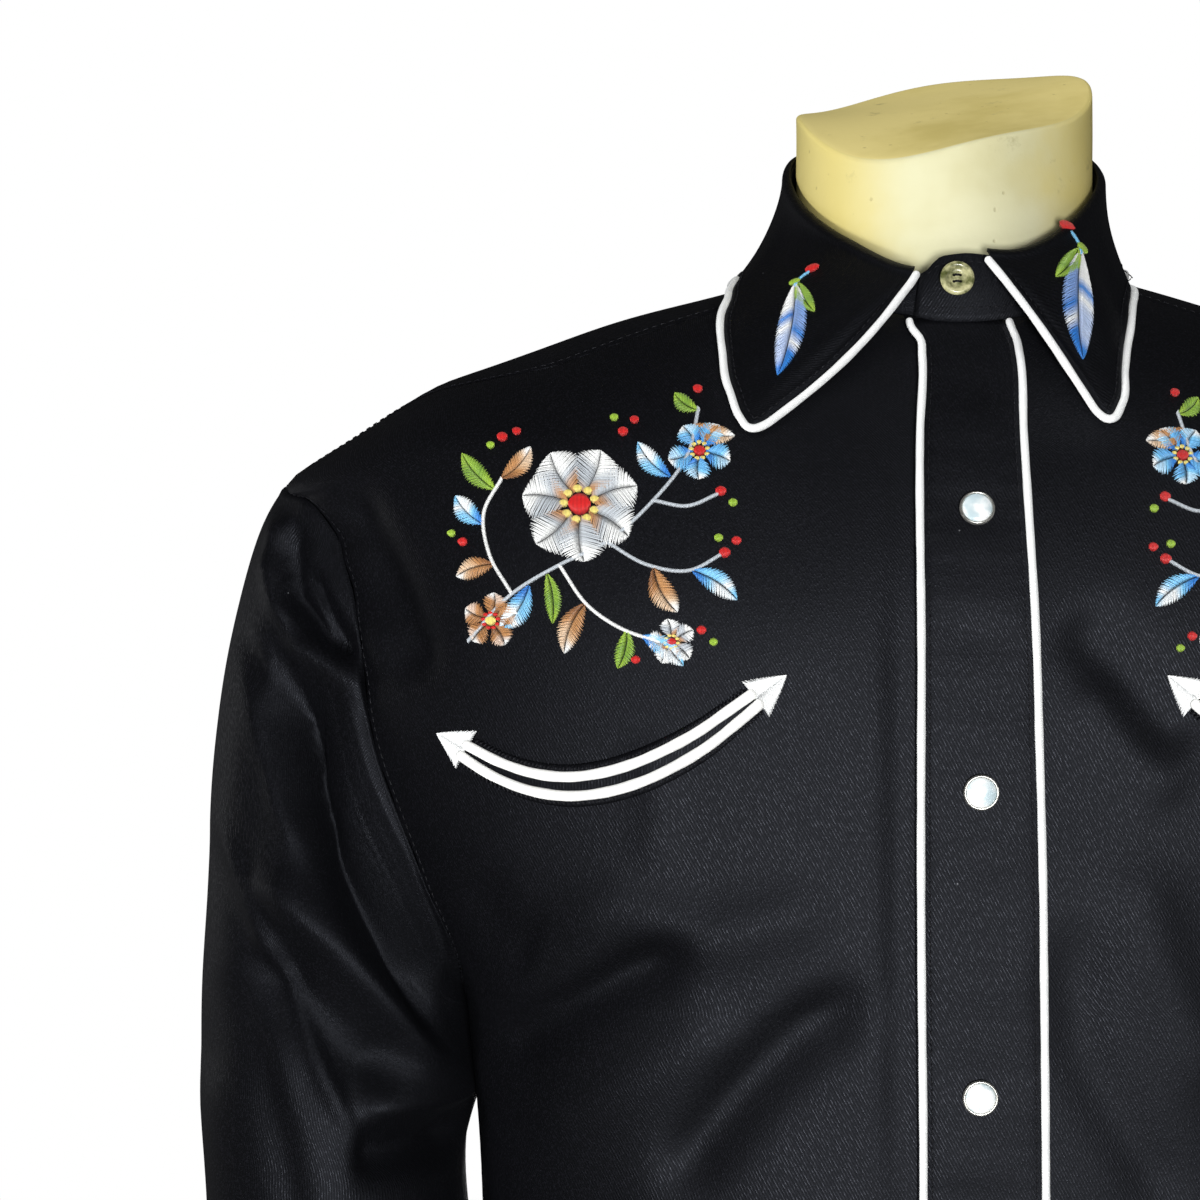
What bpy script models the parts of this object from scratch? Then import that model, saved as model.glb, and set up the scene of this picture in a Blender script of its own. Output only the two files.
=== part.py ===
"""Western snap shirt on a limbless dress form.

Metres, +Z up, the wearer faces -Y, the wearer's right is -X. The origin is the middle of the form's
flat base. Every cloth panel is a patch of one master surface, body_base(turn, tape):
  turn  angle round the body in radians: 0 centre front, +90 deg the wearer's left side, 180 deg back;
  tape  distance up the side from the floor and then along the shoulder to the neck.
"""

import bpy
import bmesh
import numpy as np
from collections import namedtuple
from math import pi, radians
from mathutils import Matrix, Vector

# ---------------------------------------------------------------- driving dimensions (metres)
CLOTH = 0.0012            # wall of one panel
SEAM = 0.0003             # gap between two pieces at a seam
LAY = 0.00035             # gap between a panel and what is sewn on it
WAIST_TAPE = 0.300
ARMPIT_TAPE = 0.560       # bottom of the armhole
SHOULDER_TAPE = 0.762     # top of the armhole, where the shoulder line starts
NECK_TAPE = 0.933         # neckline
HEM_SIDE = 0.148          # height of the curved hem at the side seams
HEM_FRONT = 0.078         # and at the front and back tails
HEM_BACK = 0.066
ARMHOLE_FRONT = 0.062     # how far the armhole reaches in front of the shoulder point
ARMHOLE_BACK = 0.066
ARMHOLE_STEPS = 10        # rows between armpit and shoulder point
YOKE_STEP = 7             # the back yoke seam lies on this armhole row
YOKE_FORWARD = radians(30)   # the front yoke seam lies this far in front of the shoulder ridge
UNDERLAP = 0.0019         # the right front sinks this much under the placket
FRONT_EDGE = 0.0016       # the left front shows this much outside the free edge's piping
FRONT_LAP = 0.0060        # the right front ends this far before the sewn edge's piping
FRONT_COLUMNS = 9         # grid columns of a front, and of the back and yoke
BACK_COLUMNS = 18
PIPING_RADIUS = 0.0014
CORD_RADIUS = 0.0015
SNAP_RADIUS = 0.0060
BUTTON_RADIUS = 0.0064
PLACKET_TOP = 0.7975      # just under the collar band
SNAP_HEIGHTS = (0.730, 0.636, 0.534, 0.436, 0.338, 0.240)
SNAP_X = 0.0008           # snaps stand a little to the wearer's left of the form's middle

# Rings of the shirt, from the form's base to the neckline. ease is how far inside the cloth's outer face
# the form lies, at the sides and at front and back.
Ring = namedtuple("Ring", "tape z_front z_side z_back half_width depth_front depth_back squareness "
                          "ease_side ease_depth")
RINGS = (
    (0.000, 0.0000, 0.0000, 0.0000, 0.1760, 0.1080, 0.1180, 2.30, 0.0240, 0.0200),
    (0.100, 0.1000, 0.1000, 0.1000, 0.1810, 0.1120, 0.1240, 2.40, 0.0170, 0.0140),
    (0.200, 0.2000, 0.2000, 0.2000, 0.1810, 0.1130, 0.1220, 2.40, 0.0180, 0.0160),
    (0.330, 0.3300, 0.3300, 0.3300, 0.1720, 0.1110, 0.1110, 2.50, 0.0300, 0.0220),
    (0.440, 0.4400, 0.4400, 0.4400, 0.1680, 0.1130, 0.1060, 2.60, 0.0200, 0.0160),
    (0.500, 0.5000, 0.5000, 0.5000, 0.1670, 0.1160, 0.1080, 2.75, 0.0110, 0.0110),
    (0.535, 0.5350, 0.5350, 0.5350, 0.1695, 0.1172, 0.1085, 2.90, 0.0110, 0.0110),
    (0.560, 0.5600, 0.5600, 0.5600, 0.1765, 0.1180, 0.1090, 3.00, 0.0110, 0.0100),
    (0.600, 0.6000, 0.6000, 0.6000, 0.1970, 0.1190, 0.1100, 3.00, 0.0120, 0.0085),
    (0.650, 0.6500, 0.6500, 0.6500, 0.2150, 0.1200, 0.1090, 3.00, 0.0110, 0.0070),
    (0.700, 0.6990, 0.7000, 0.7000, 0.2180, 0.1170, 0.1040, 2.90, 0.0090, 0.0055),
    (0.744, 0.7380, 0.7440, 0.7460, 0.2222, 0.1060, 0.0920, 2.50, 0.0070, 0.0055),
    (0.762, 0.7500, 0.7595, 0.7630, 0.2250, 0.1010, 0.0850, 2.30, 0.0060, 0.0055),
    (0.786, 0.7585, 0.7725, 0.7770, 0.2030, 0.0970, 0.0815, 2.20, 0.0045, 0.0050),
    (0.828, 0.7700, 0.7880, 0.7945, 0.1630, 0.0910, 0.0750, 2.10, 0.0032, 0.0046),
    (0.889, 0.7860, 0.8075, 0.8160, 0.1050, 0.0815, 0.0660, 2.00, 0.0028, 0.0044),
    (0.933, 0.7995, 0.8190, 0.8310, 0.0625, 0.0725, 0.0585, 2.00, 0.0026, 0.0042),
)

# Soft folds of the body: (side, x0, z0, x1, z1, height, spread), from one end to the other. side is -1 on
# the front and +1 on the back, troughs have a negative height, and spread is the half width.
BODY_FOLDS = (
    (-1, -0.2130, 0.742, -0.1880, 0.686, -0.0026, 0.011),
    (-1, -0.0990, 0.588, -0.1560, 0.536, -0.0034, 0.015),
    (-1, -0.1080, 0.562, -0.1560, 0.508, 0.0030, 0.015),
    (-1, -0.0380, 0.571, -0.1000, 0.500, -0.0030, 0.016),
    (-1, -0.0600, 0.440, -0.1450, 0.395, 0.0055, 0.022),
    (-1, -0.0300, 0.330, -0.1300, 0.300, -0.0055, 0.024),
    (-1, -0.1200, 0.250, -0.0900, 0.130, 0.0055, 0.024),
    (-1, 0.0440, 0.585, 0.0760, 0.500, -0.0024, 0.013),
    (-1, 0.2130, 0.742, 0.1900, 0.690, -0.0024, 0.012),
    (-1, 0.0900, 0.570, 0.1560, 0.520, -0.0032, 0.016),
    (-1, 0.0650, 0.420, 0.1500, 0.370, 0.0055, 0.022),
    (-1, 0.0400, 0.345, 0.1200, 0.285, -0.0055, 0.024),
    (-1, 0.1250, 0.240, 0.1000, 0.120, 0.0055, 0.024),
    (1, -0.1850, 0.640, -0.1100, 0.520, -0.0040, 0.018),
    (1, 0.1850, 0.630, 0.1150, 0.500, -0.0040, 0.018),
    (1, -0.1200, 0.430, 0.0200, 0.370, 0.0045, 0.022),
    (1, 0.1300, 0.400, -0.0100, 0.320, -0.0045, 0.022),
    (1, -0.0700, 0.260, -0.0500, 0.110, 0.0045, 0.024),
    (1, 0.0700, 0.270, 0.0850, 0.120, 0.0045, 0.024),
)

# Edges of the placket, as the centre lines of its two pipings: (z, x of the free edge, x of the sewn one).
FREE_EDGE, SEWN_EDGE = 0, 1
PLACKET_EDGES = (
    (0.060, -0.0185, 0.0225),
    (0.300, -0.0185, 0.0230),
    (0.517, -0.0180, 0.0228),
    (0.600, -0.0190, 0.0216),
    (0.667, -0.0190, 0.0200),
    (0.757, -0.0170, 0.0182),
    (0.784, -0.0157, 0.0190),
    (0.790, -0.0162, 0.0184),
    (0.795, -0.0182, 0.0170),
    (0.800, -0.0186, 0.0158),
)

# Outer edge of the collar leaf: (fold_turn, x, z, face), the angle in degrees at which each line leaves the
# fold above the stand, and the point where it meets the shirt, on the front (face -1) or the back (+1). The
# first and last lines are the two straight front edges, the next ones round the points.
LEAF_EDGE = (
    (-15.6, -0.0690, 0.7615, -1),
    (-16.8, -0.0738, 0.7597, -1),
    (-18.5, -0.0767, 0.7632, -1),
    (-27.0, -0.0797, 0.7715, -1),
    (-42.0, -0.0811, 0.7845, -1),
    (-60.0, -0.0806, 0.7970, -1),
    (-76.0, -0.0772, 0.8070, -1),
    (-90.0, -0.0728, 0.8125, -1),
    (-108.0, -0.0665, 0.8150, 1),
    (-130.0, -0.0540, 0.8155, 1),
    (-155.0, -0.0280, 0.8160, 1),
    (-180.0, 0.0000, 0.8160, 1),
    (-205.0, 0.0270, 0.8160, 1),
    (-230.0, 0.0500, 0.8160, 1),
    (-252.0, 0.0635, 0.8160, 1),
    (-270.0, 0.0655, 0.8140, -1),
    (-284.0, 0.0628, 0.8080, -1),
    (-300.0, 0.0590, 0.7990, -1),
    (-318.0, 0.0560, 0.7885, -1),
    (-334.0, 0.0535, 0.7780, -1),
    (-347.0, 0.0505, 0.7692, -1),
    (-350.5, 0.0475, 0.7648, -1),
    (-352.5, 0.0438, 0.7672, -1),
)

# Middle line of the wearer's right smile pocket: (x, z).
POCKET_LINE = (
    (-0.1700, 0.6503),
    (-0.1592, 0.6428),
    (-0.1490, 0.6389),
    (-0.1368, 0.6374),
    (-0.1246, 0.6388),
    (-0.1135, 0.6421),
    (-0.1023, 0.6472),
    (-0.0918, 0.6533),
    (-0.0834, 0.6591),
    (-0.0750, 0.6645),
)
POCKET_SPREAD_ENDS = 0.0038      # distance between the two cords at the pocket's ends
POCKET_SPREAD_MIDDLE = 0.0066
WELT_MARGIN = 0.0040             # the welt shows this far outside the cords' centres
ARROW_LENGTHS = (0.0105, 0.0124)  # outer and inner end
ARROW_HALF_WIDTH = 0.0072

# Rings of the wearer's right sleeve below the upper arm: (z, centre_x, centre_y, half_x, half_y).
SLEEVE_RINGS = (
    (0.5000, -0.2265, 0.000, 0.0475, 0.0700),
    (0.4500, -0.2222, -0.003, 0.0492, 0.0685),
    (0.3900, -0.2222, -0.008, 0.0490, 0.0655),
    (0.3350, -0.2240, -0.013, 0.0475, 0.0620),
    (0.2800, -0.2270, -0.018, 0.0460, 0.0580),
    (0.2400, -0.2290, -0.022, 0.0450, 0.0550),
    (0.2120, -0.2300, -0.025, 0.0430, 0.0510),
    (0.1990, -0.2305, -0.026, 0.0385, 0.0465),
    (0.1915, -0.2305, -0.027, 0.0335, 0.0415),
    (0.1840, -0.2305, -0.027, 0.0334, 0.0414),
)
CUFF_TOP = 0.190
CUFF_BOTTOM = 0.124
CUFF_CENTRE = (-0.2305, -0.027)
CUFF_HALF = (0.0356, 0.0436)
CUFF_LAP = radians(24)
CUFF_SEAM = radians(140)         # the cuff closes at the outer back of the wrist
CUFF_SNAP_HEIGHTS = (0.142, 0.172)
CUFF_WALL = 0.0015
CUFF_LAP_LIFT = 0.0022           # the over end rides this far outside the under end
SLEEVE_PLACKET = (0.605, 0.645)  # the sleeve placket's edges, as shares round the sleeve

# Folds of the sleeve, seen from the front (-1) or the back (+1), for the wearer's right arm.
SLEEVE_FOLDS = (
    (-1, -0.2320, 0.728, -0.2090, 0.672, -0.0030, 0.013),
    (-1, -0.2290, 0.684, -0.2190, 0.628, -0.0045, 0.015),
    (-1, -0.2340, 0.650, -0.1880, 0.555, 0.0050, 0.016),
    (-1, -0.2200, 0.648, -0.1830, 0.570, -0.0030, 0.014),
    (-1, -0.2580, 0.650, -0.2150, 0.515, 0.0040, 0.016),
    (-1, -0.2430, 0.612, -0.1830, 0.536, -0.0065, 0.016),
    (-1, -0.2100, 0.553, -0.1750, 0.541, 0.0030, 0.014),
    (-1, -0.2600, 0.440, -0.1950, 0.375, -0.0070, 0.018),
    (-1, -0.2500, 0.395, -0.1950, 0.340, 0.0060, 0.018),
    (-1, -0.2600, 0.315, -0.2050, 0.250, -0.0060, 0.017),
    (1, -0.2400, 0.700, -0.2000, 0.610, -0.0060, 0.016),
    (1, -0.2600, 0.620, -0.2000, 0.530, 0.0060, 0.017),
    (1, -0.2600, 0.470, -0.1900, 0.400, -0.0075, 0.018),
    (1, -0.2550, 0.350, -0.2000, 0.285, -0.0055, 0.017),
)

# ---------------------------------------------------------------- colours (linear RGB, roughness, metallic)
BLACK_TWILL = ((0.010, 0.010, 0.014), 0.78, 0.0)
BLACK_COLLAR = ((0.009, 0.009, 0.013), 0.75, 0.0)
BLACK_WELT = ((0.008, 0.008, 0.010), 0.85, 0.0)
WHITE_PIPING = ((0.83, 0.83, 0.80), 0.60, 0.0)
WHITE_THREAD = ((0.80, 0.79, 0.76), 0.45, 0.0)
PEARL = ((0.80, 0.84, 0.84), 0.22, 0.1)
HORN = ((0.42, 0.42, 0.22), 0.25, 0.0)
PLASTER = ((0.62, 0.57, 0.30), 0.55, 0.0)


# ---------------------------------------------------------------- scene and materials
def clear_scene():
    """Remove whatever objects the file holds."""
    for old in list(bpy.data.objects):
        bpy.data.objects.remove(old, do_unlink=True)


def make_collection(name):
    collection = bpy.data.collections.new(name)
    bpy.context.scene.collection.children.link(collection)
    return collection


def make_material(name, look):
    """A Principled material from (colour, roughness, metallic)."""
    colour, roughness, metallic = look
    material = bpy.data.materials.new(name)
    material.use_nodes = True
    shader = material.node_tree.nodes["Principled BSDF"]
    shader.inputs["Base Color"].default_value = (*colour, 1.0)
    shader.inputs["Roughness"].default_value = roughness
    shader.inputs["Metallic"].default_value = metallic
    material.diffuse_color = (*colour, 1.0)
    return material


def link_object(name, data, look):
    """Put mesh or curve data in the shirt's collection under its node name, with its own material."""
    item = bpy.data.objects.new(name, data)
    data.materials.append(make_material(name + "_material", look))
    SHIRT.objects.link(item)
    return item


# ---------------------------------------------------------------- the master surface
def smooth_columns(rows, where):
    """Cubic (Hermite) interpolation of a table's columns at the values `where` of its first column."""
    table = np.array(rows, float)
    knots = table[:, 0]
    slopes = np.gradient(table[:, 1:], knots, axis=0)
    where = np.clip(np.asarray(where, float), knots[0], knots[-1])
    low = np.clip(np.searchsorted(knots, where, side="right") - 1, 0, len(knots) - 2)
    step = knots[low + 1] - knots[low]
    f = ((where - knots[low]) / step)[..., None]
    h = step[..., None]
    a, b = table[low, 1:], table[low + 1, 1:]
    return ((2 * f**3 - 3 * f**2 + 1) * a + (f**3 - 2 * f**2 + f) * h * slopes[low]
            + (3 * f**2 - 2 * f**3) * b + (f**3 - f**2) * h * slopes[low + 1])


def ring_at(tape):
    """The shirt's ring at a tape distance, as a Ring of arrays."""
    return Ring(tape, *np.moveaxis(smooth_columns(RINGS, tape), -1, 0))


def smooth_step(value, low, high):
    """0 below low, 1 above high, an S-curve between."""
    f = np.clip((np.asarray(value, float) - low) / (high - low), 0, 1)
    return f * f * (3 - 2 * f)


def body_base(turn, tape):
    """The unfolded shirt: x = W r sin(turn), y = -D r cos(turn), r = (|sin|^n + |cos|^n)^(-1/n),
    z = z_side + (z_front or z_back - z_side) cos(turn)^2."""
    turn, tape = np.broadcast_arrays(np.asarray(turn, float), np.asarray(tape, float))
    ring = ring_at(tape)
    sine, cosine = np.sin(turn), np.cos(turn)
    power = ring.squareness
    radius = (np.abs(sine) ** power + np.abs(cosine) ** power) ** (-1 / power)
    depth = np.where(cosine > 0, ring.depth_front, ring.depth_back)
    z_end = np.where(cosine > 0, ring.z_front, ring.z_back)
    return np.stack((ring.half_width * radius * sine, -depth * radius * cosine,
                     ring.z_side + (z_end - ring.z_side) * cosine**2), axis=-1)


def body_normal(turn, tape):
    """Unit outward normal of body_base, by central differences."""
    turn, tape = np.broadcast_arrays(np.asarray(turn, float), np.asarray(tape, float))
    step = 0.002
    tape = np.clip(tape, step, NECK_TAPE - step)
    around = body_base(turn + step, tape) - body_base(turn - step, tape)
    upward = body_base(turn, tape + step) - body_base(turn, tape - step)
    normal = np.cross(around, upward)
    return normal / np.linalg.norm(normal, axis=-1, keepdims=True)


def fold_height(points, folds, facing):
    """Sum of the folds at the points: height * exp(-(d / spread)^2), faded out at both ends of each.
    facing is -1 on the front half and +1 on the back half, and passes smoothly through 0."""
    total = np.zeros(points.shape[:-1])
    for side, x0, z0, x1, z1, height, spread in folds:
        start, run = np.array((x0, z0)), np.array((x1 - x0, z1 - z0))
        length = np.hypot(*run)
        offset = points[..., (0, 2)] - start
        along = offset @ run / length**2
        across = (offset @ np.array((-run[1], run[0]))) / length
        fade = smooth_step(along, -0.15, 0.25) * (1 - smooth_step(along, 0.75, 1.15))
        total += height * np.exp(-(across / spread) ** 2) * fade * np.clip(side * facing * 3, 0, 1)
    return total


def body_point(turn, tape, out=0.0):
    """A point of the folded shirt, moved `out` along the outward normal."""
    base = body_base(turn, tape)
    fold = fold_height(base, BODY_FOLDS, -np.cos(np.asarray(turn, float) + 0 * base[..., 0]))
    return base + body_normal(turn, tape) * (fold + out)[..., None]


def turn_at_depth(tape, depth_share):
    """Turn where |y| is the given share of the ring's depth: solves X^n + Y^n = 1 for X."""
    power = ring_at(tape).squareness
    share = np.clip(depth_share, 0, 1)
    return np.arctan2((1 - share**power) ** (1 / power), share)


def locate(x, z, face=-1):
    """(turn, tape) of the point of the front (face -1) or back (+1) that is seen at x, z."""
    x, z = np.broadcast_arrays(np.asarray(x, float), np.asarray(z, float))
    face = np.broadcast_to(face, x.shape)
    tape = z.copy()
    for _ in range(40):
        ring = ring_at(tape)
        share = np.clip(np.abs(x) / ring.half_width, 0, 0.9995)
        turn = np.arctan2(share, (1 - share**ring.squareness) ** (1 / ring.squareness))
        z_end = np.where(face < 0, ring.z_front, ring.z_back)
        height = ring.z_side + (z_end - ring.z_side) * np.cos(turn) ** 2
        tape = np.clip(tape + 0.8 * (z - height), 0, NECK_TAPE)
    turn = np.where(face < 0, turn, pi - turn)
    return np.where(x < 0, -turn, turn), tape


def seam_turn(tape, distance):
    """The angle that spans a small distance round the ring at this tape."""
    ring = ring_at(tape)
    return distance / (0.5 * (ring.half_width + ring.depth_front))


# ---------------------------------------------------------------- seam lines
ARMHOLE_SHARE = np.arange(ARMHOLE_STEPS + 1) / ARMHOLE_STEPS
ARMHOLE_TAPE = (ARMPIT_TAPE + (SHOULDER_TAPE - ARMPIT_TAPE) * (1 - np.cos(pi * ARMHOLE_SHARE)) / 2)


def armhole_row(step, edge):
    """Tape along one armhole row: close to its neighbours at the armhole's round ends (edge 1) and evenly
    spaced at the panel's middle (edge 0)."""
    even = ARMPIT_TAPE + (SHOULDER_TAPE - ARMPIT_TAPE) * step / ARMHOLE_STEPS
    return even + (ARMHOLE_TAPE[step] - even) * edge**2


def armhole_turn(back):
    """Turn of the armhole's front or back edge on each armhole row, for the wearer's left side. The edge
    reaches ARMHOLE_FRONT or ARMHOLE_BACK from the shoulder's plane at mid height."""
    ring = ring_at(ARMHOLE_TAPE)
    reach = (ARMHOLE_BACK if back else ARMHOLE_FRONT) * np.sin(pi * ARMHOLE_SHARE) ** 0.9
    turn = turn_at_depth(ARMHOLE_TAPE, reach / (ring.depth_back if back else ring.depth_front))
    return pi - turn if back else turn


def hem_tape(turn):
    """Height of the shirttail hem: HEM_SIDE at the side seams, lower by cos^2 at front and back."""
    tail = np.where(np.cos(turn) > 0, HEM_FRONT, HEM_BACK)
    return HEM_SIDE + (tail - HEM_SIDE) * (np.cos(turn) ** 2) ** 0.8


def yoke_gap(tape):
    """Gap at the front yoke seam: wider where it crosses the round end of the shoulder."""
    return SEAM * (1 + 1.8 * (1 - smooth_step(tape, SHOULDER_TAPE + 0.015, SHOULDER_TAPE + 0.060)))


def yoke_turn(tape):
    """Turn of the front yoke seam: at the shoulder point on the ridge, then YOKE_FORWARD before it."""
    return pi / 2 - YOKE_FORWARD * smooth_step(tape, SHOULDER_TAPE - 0.004, SHOULDER_TAPE + 0.075)


LOWER_SHARE = (0.0, 0.12, 0.24, 0.36, 0.48, 0.60, 0.72, 0.84, 0.92, 0.97, 1.0)   # hem to armpit
UPPER_TAPE = np.array((0.771, 0.786, 0.806, 0.834, 0.868, 0.902, NECK_TAPE))


# ---------------------------------------------------------------- mesh makers
def grid_mesh(name, points, closed=False):
    """A quad mesh over a grid of points. Columns run to the right as seen from outside, rows upward."""
    rows, columns = points.shape[:2]
    index = np.arange(rows * columns).reshape(rows, columns)
    right = np.roll(index, -1, axis=1) if closed else index[:, 1:]
    left = index if closed else index[:, :-1]
    faces = np.stack((left[:-1], right[:-1], right[1:], left[1:]), axis=-1).reshape(-1, 4)
    mesh = bpy.data.meshes.new(name)
    mesh.from_pydata(points.reshape(-1, 3).tolist(), [], faces.tolist())
    mesh.update()
    return mesh


def cloth(name, points, look, closed=False, wall=CLOTH):
    """An open sheet of cloth, thickened inward by Solidify."""
    mesh = grid_mesh(name, points, closed)
    mesh.shade_smooth()
    item = link_object(name, mesh, look)
    solid = item.modifiers.new("wall", "SOLIDIFY")
    solid.thickness = wall
    solid.offset = -1.0
    solid.use_rim = True
    return item


def cord(name, points, radius, look, sides_step=1):
    """A round cord: a POLY curve with a bevel and filled caps."""
    curve = bpy.data.curves.new(name, "CURVE")
    curve.dimensions = "3D"
    curve.bevel_depth = radius
    curve.bevel_resolution = sides_step
    curve.use_fill_caps = True
    spline = curve.splines.new("POLY")
    spline.points.add(len(points) - 1)
    for point, place in zip(spline.points, points):
        point.co = (*place, 1.0)
    return link_object(name, curve, look)


def spaced(points, count):
    """`count` points evenly spaced along a polyline, read from a smooth curve through its points."""
    points = np.asarray(points, float)
    lengths = np.linalg.norm(np.diff(points, axis=0), axis=1)
    along = np.concatenate(((0.0,), np.cumsum(lengths)))
    table = np.column_stack((along, points))
    return smooth_columns(table, np.linspace(0, along[-1], count))


# ---------------------------------------------------------------- dress form
def form_point(turn, tape):
    """The form lies inside the shirt's outer face by the ring's ease."""
    ring = ring_at(np.asarray(tape, float) + 0 * np.asarray(turn, float))
    ease = ring.ease_side * np.sin(turn) ** 2 + ring.ease_depth * np.cos(turn) ** 2
    return body_base(turn, tape) - body_normal(turn, tape) * ease[..., None]


def neck_cut_height(x, y):
    """The neck is cut at a slant, lower at the front and a little lower at the wearer's right."""
    return 0.8811 + 0.114 * (x - 0.004) + 0.36 * y


def make_dress_form():
    """Torso rings, neck rings and a slanted cut with a rounded rim, closed by a fan at each end."""
    segments = 28
    turn = np.arange(segments) * 2 * pi / segments
    tapes = np.array((0.0, 0.05, 0.10, 0.16, 0.22, 0.28, 0.34, 0.40, 0.46, 0.52, 0.56, 0.60, 0.64, 0.68,
                      0.715, 0.740, 0.754, 0.764, 0.785, 0.820, 0.862, 0.900, 0.9328))
    rings = [form_point(turn, tape) for tape in tapes]
    rings[0][:, 2] = 0.0
    sine, cosine = np.sin(turn), np.cos(turn)
    neck_base = rings[-1][:, 2]
    for share in (0.14, 0.40, 0.70, 0.97, 1.0):
        narrow = smooth_step(share, -0.2, 0.5)
        inset = 0.0012 if share == 1.0 else 0.0
        width = 0.0585 - 0.0037 * narrow - inset
        depth = np.where(cosine > 0, 0.0650 - 0.0050 * narrow, 0.0550 - 0.0020 * narrow) - inset
        x = 0.0022 * narrow + width * sine
        y = -depth * cosine
        top = neck_cut_height(x, y)
        z = neck_base + 0.002 + (top - neck_base - 0.002) * share
        rings.append(np.stack((x, y, z), axis=-1))
    shape = bmesh.new()
    loops = [[shape.verts.new(place) for place in ring] for ring in rings]
    for lower, upper in zip(loops, loops[1:]):
        for k in range(segments):
            after = (k + 1) % segments
            shape.faces.new((lower[k], lower[after], upper[after], upper[k]))
    shape.faces.new(tuple(reversed(loops[0])))
    shape.faces.new(tuple(loops[-1]))
    mesh = bpy.data.meshes.new("dress_form")
    shape.to_mesh(mesh)
    shape.free()
    mesh.shade_smooth()
    return link_object("dress_form", mesh, PLASTER)


# ---------------------------------------------------------------- body panels
def placket_edge(z, column):
    """x of the placket's free or sewn edge at height z."""
    return smooth_columns(PLACKET_EDGES, z)[..., column]


def front_rows(left):
    """(turn, tape) grids of a front panel, from its inner edge to its side seam, armhole and yoke seam.
    left is the wearer's left front, which carries the placket; the right one laps under it."""
    share = np.linspace(0, 1, FRONT_COLUMNS + 1)
    sign = 1 if left else -1

    def inner_turn(tape):
        ring = ring_at(tape)
        under = placket_edge(ring.z_front, SEWN_EDGE) - FRONT_LAP
        x = placket_edge(ring.z_front, FREE_EDGE) - FRONT_EDGE if left else under
        return np.arcsin(np.clip(x / ring.half_width, -1, 1))

    rows = []
    for up in LOWER_SHARE:
        side = sign * (pi / 2 - seam_turn(WAIST_TAPE, SEAM / 2))
        inner = inner_turn(np.array(hem_tape(0.0) + (ARMPIT_TAPE - hem_tape(0.0)) * up))
        turn = inner + (side - inner) * share
        low = hem_tape(turn)
        rows.append((turn, low + (ARMPIT_TAPE - low) * up))
    edges = armhole_turn(back=False)
    edges[-1] -= seam_turn(SHOULDER_TAPE, yoke_gap(SHOULDER_TAPE))
    for step in range(1, ARMHOLE_STEPS + 1):
        tape = armhole_row(step, share)
        inner = inner_turn(tape[0])
        rows.append((inner + (sign * edges[step] - inner) * share, tape))
    for tape in UPPER_TAPE:
        edge = sign * (yoke_turn(tape) - seam_turn(tape, yoke_gap(tape) / 2))
        inner = inner_turn(tape)
        rows.append((inner + (edge - inner) * share, np.full(FRONT_COLUMNS + 1, tape)))
    turn = np.array([row[0] for row in rows])
    tape = np.array([row[1] for row in rows])
    return (turn, tape) if left else (turn[:, ::-1], tape[:, ::-1])


def make_fronts():
    turn, tape = front_rows(left=True)
    cloth("front_left", body_point(turn, tape), BLACK_TWILL)
    turn, tape = front_rows(left=False)
    x = body_base(turn, tape)[..., 0]
    sink = -UNDERLAP * smooth_step(x, -0.036, -0.022)
    cloth("front_right", body_point(turn, tape, sink), BLACK_TWILL)


def make_back():
    """The back, from hem to yoke seam, between the side seams and the armholes' back edges."""
    share = np.linspace(0, 1, BACK_COLUMNS + 1)
    rows = []
    for up in LOWER_SHARE:
        side = pi / 2 + seam_turn(WAIST_TAPE, SEAM / 2)
        turn = side + (2 * pi - 2 * side) * share
        low = hem_tape(turn)
        rows.append(body_point(turn, low + (ARMPIT_TAPE - low) * up))
    edges = armhole_turn(back=True)
    for step in range(1, YOKE_STEP + 1):
        turn = edges[step] + (2 * pi - 2 * edges[step]) * share
        drop = SEAM / 2 if step == YOKE_STEP else 0.0
        rows.append(body_point(turn, armhole_row(step, np.abs(2 * share - 1)) - drop))
    cloth("back", np.array(rows), BLACK_TWILL)


def make_yoke():
    """One piece over both shoulders, from the front yoke seams to the back yoke seam."""
    share = np.linspace(0, 1, BACK_COLUMNS + 1)
    edges = armhole_turn(back=True)
    rows = []
    edges[-1] += seam_turn(SHOULDER_TAPE, yoke_gap(SHOULDER_TAPE))
    for step in range(YOKE_STEP, ARMHOLE_STEPS + 1):
        turn = edges[step] + (2 * pi - 2 * edges[step]) * share
        lift = SEAM / 2 if step == YOKE_STEP else 0.0
        rows.append(body_point(turn, armhole_row(step, np.abs(2 * share - 1)) + lift))
    for tape in UPPER_TAPE:
        start = yoke_turn(tape) + seam_turn(tape, yoke_gap(tape) / 2)
        rows.append(body_point(start + (2 * pi - 2 * start) * share, tape))
    cloth("yoke", np.array(rows), BLACK_TWILL)


# ---------------------------------------------------------------- placket, its pipings and the snaps
def centre_front(x, z, out):
    turn, tape = locate(x, z)
    return body_point(turn, tape, out)


def placket_heights():
    """Heights of the placket's rows, the same as the front panel's rows at its inner edge."""
    turn, tape = front_rows(left=True)
    z = body_base(turn[:, 0], tape[:, 0])[:, 2]
    return np.append(z[:-1], PLACKET_TOP)


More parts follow.
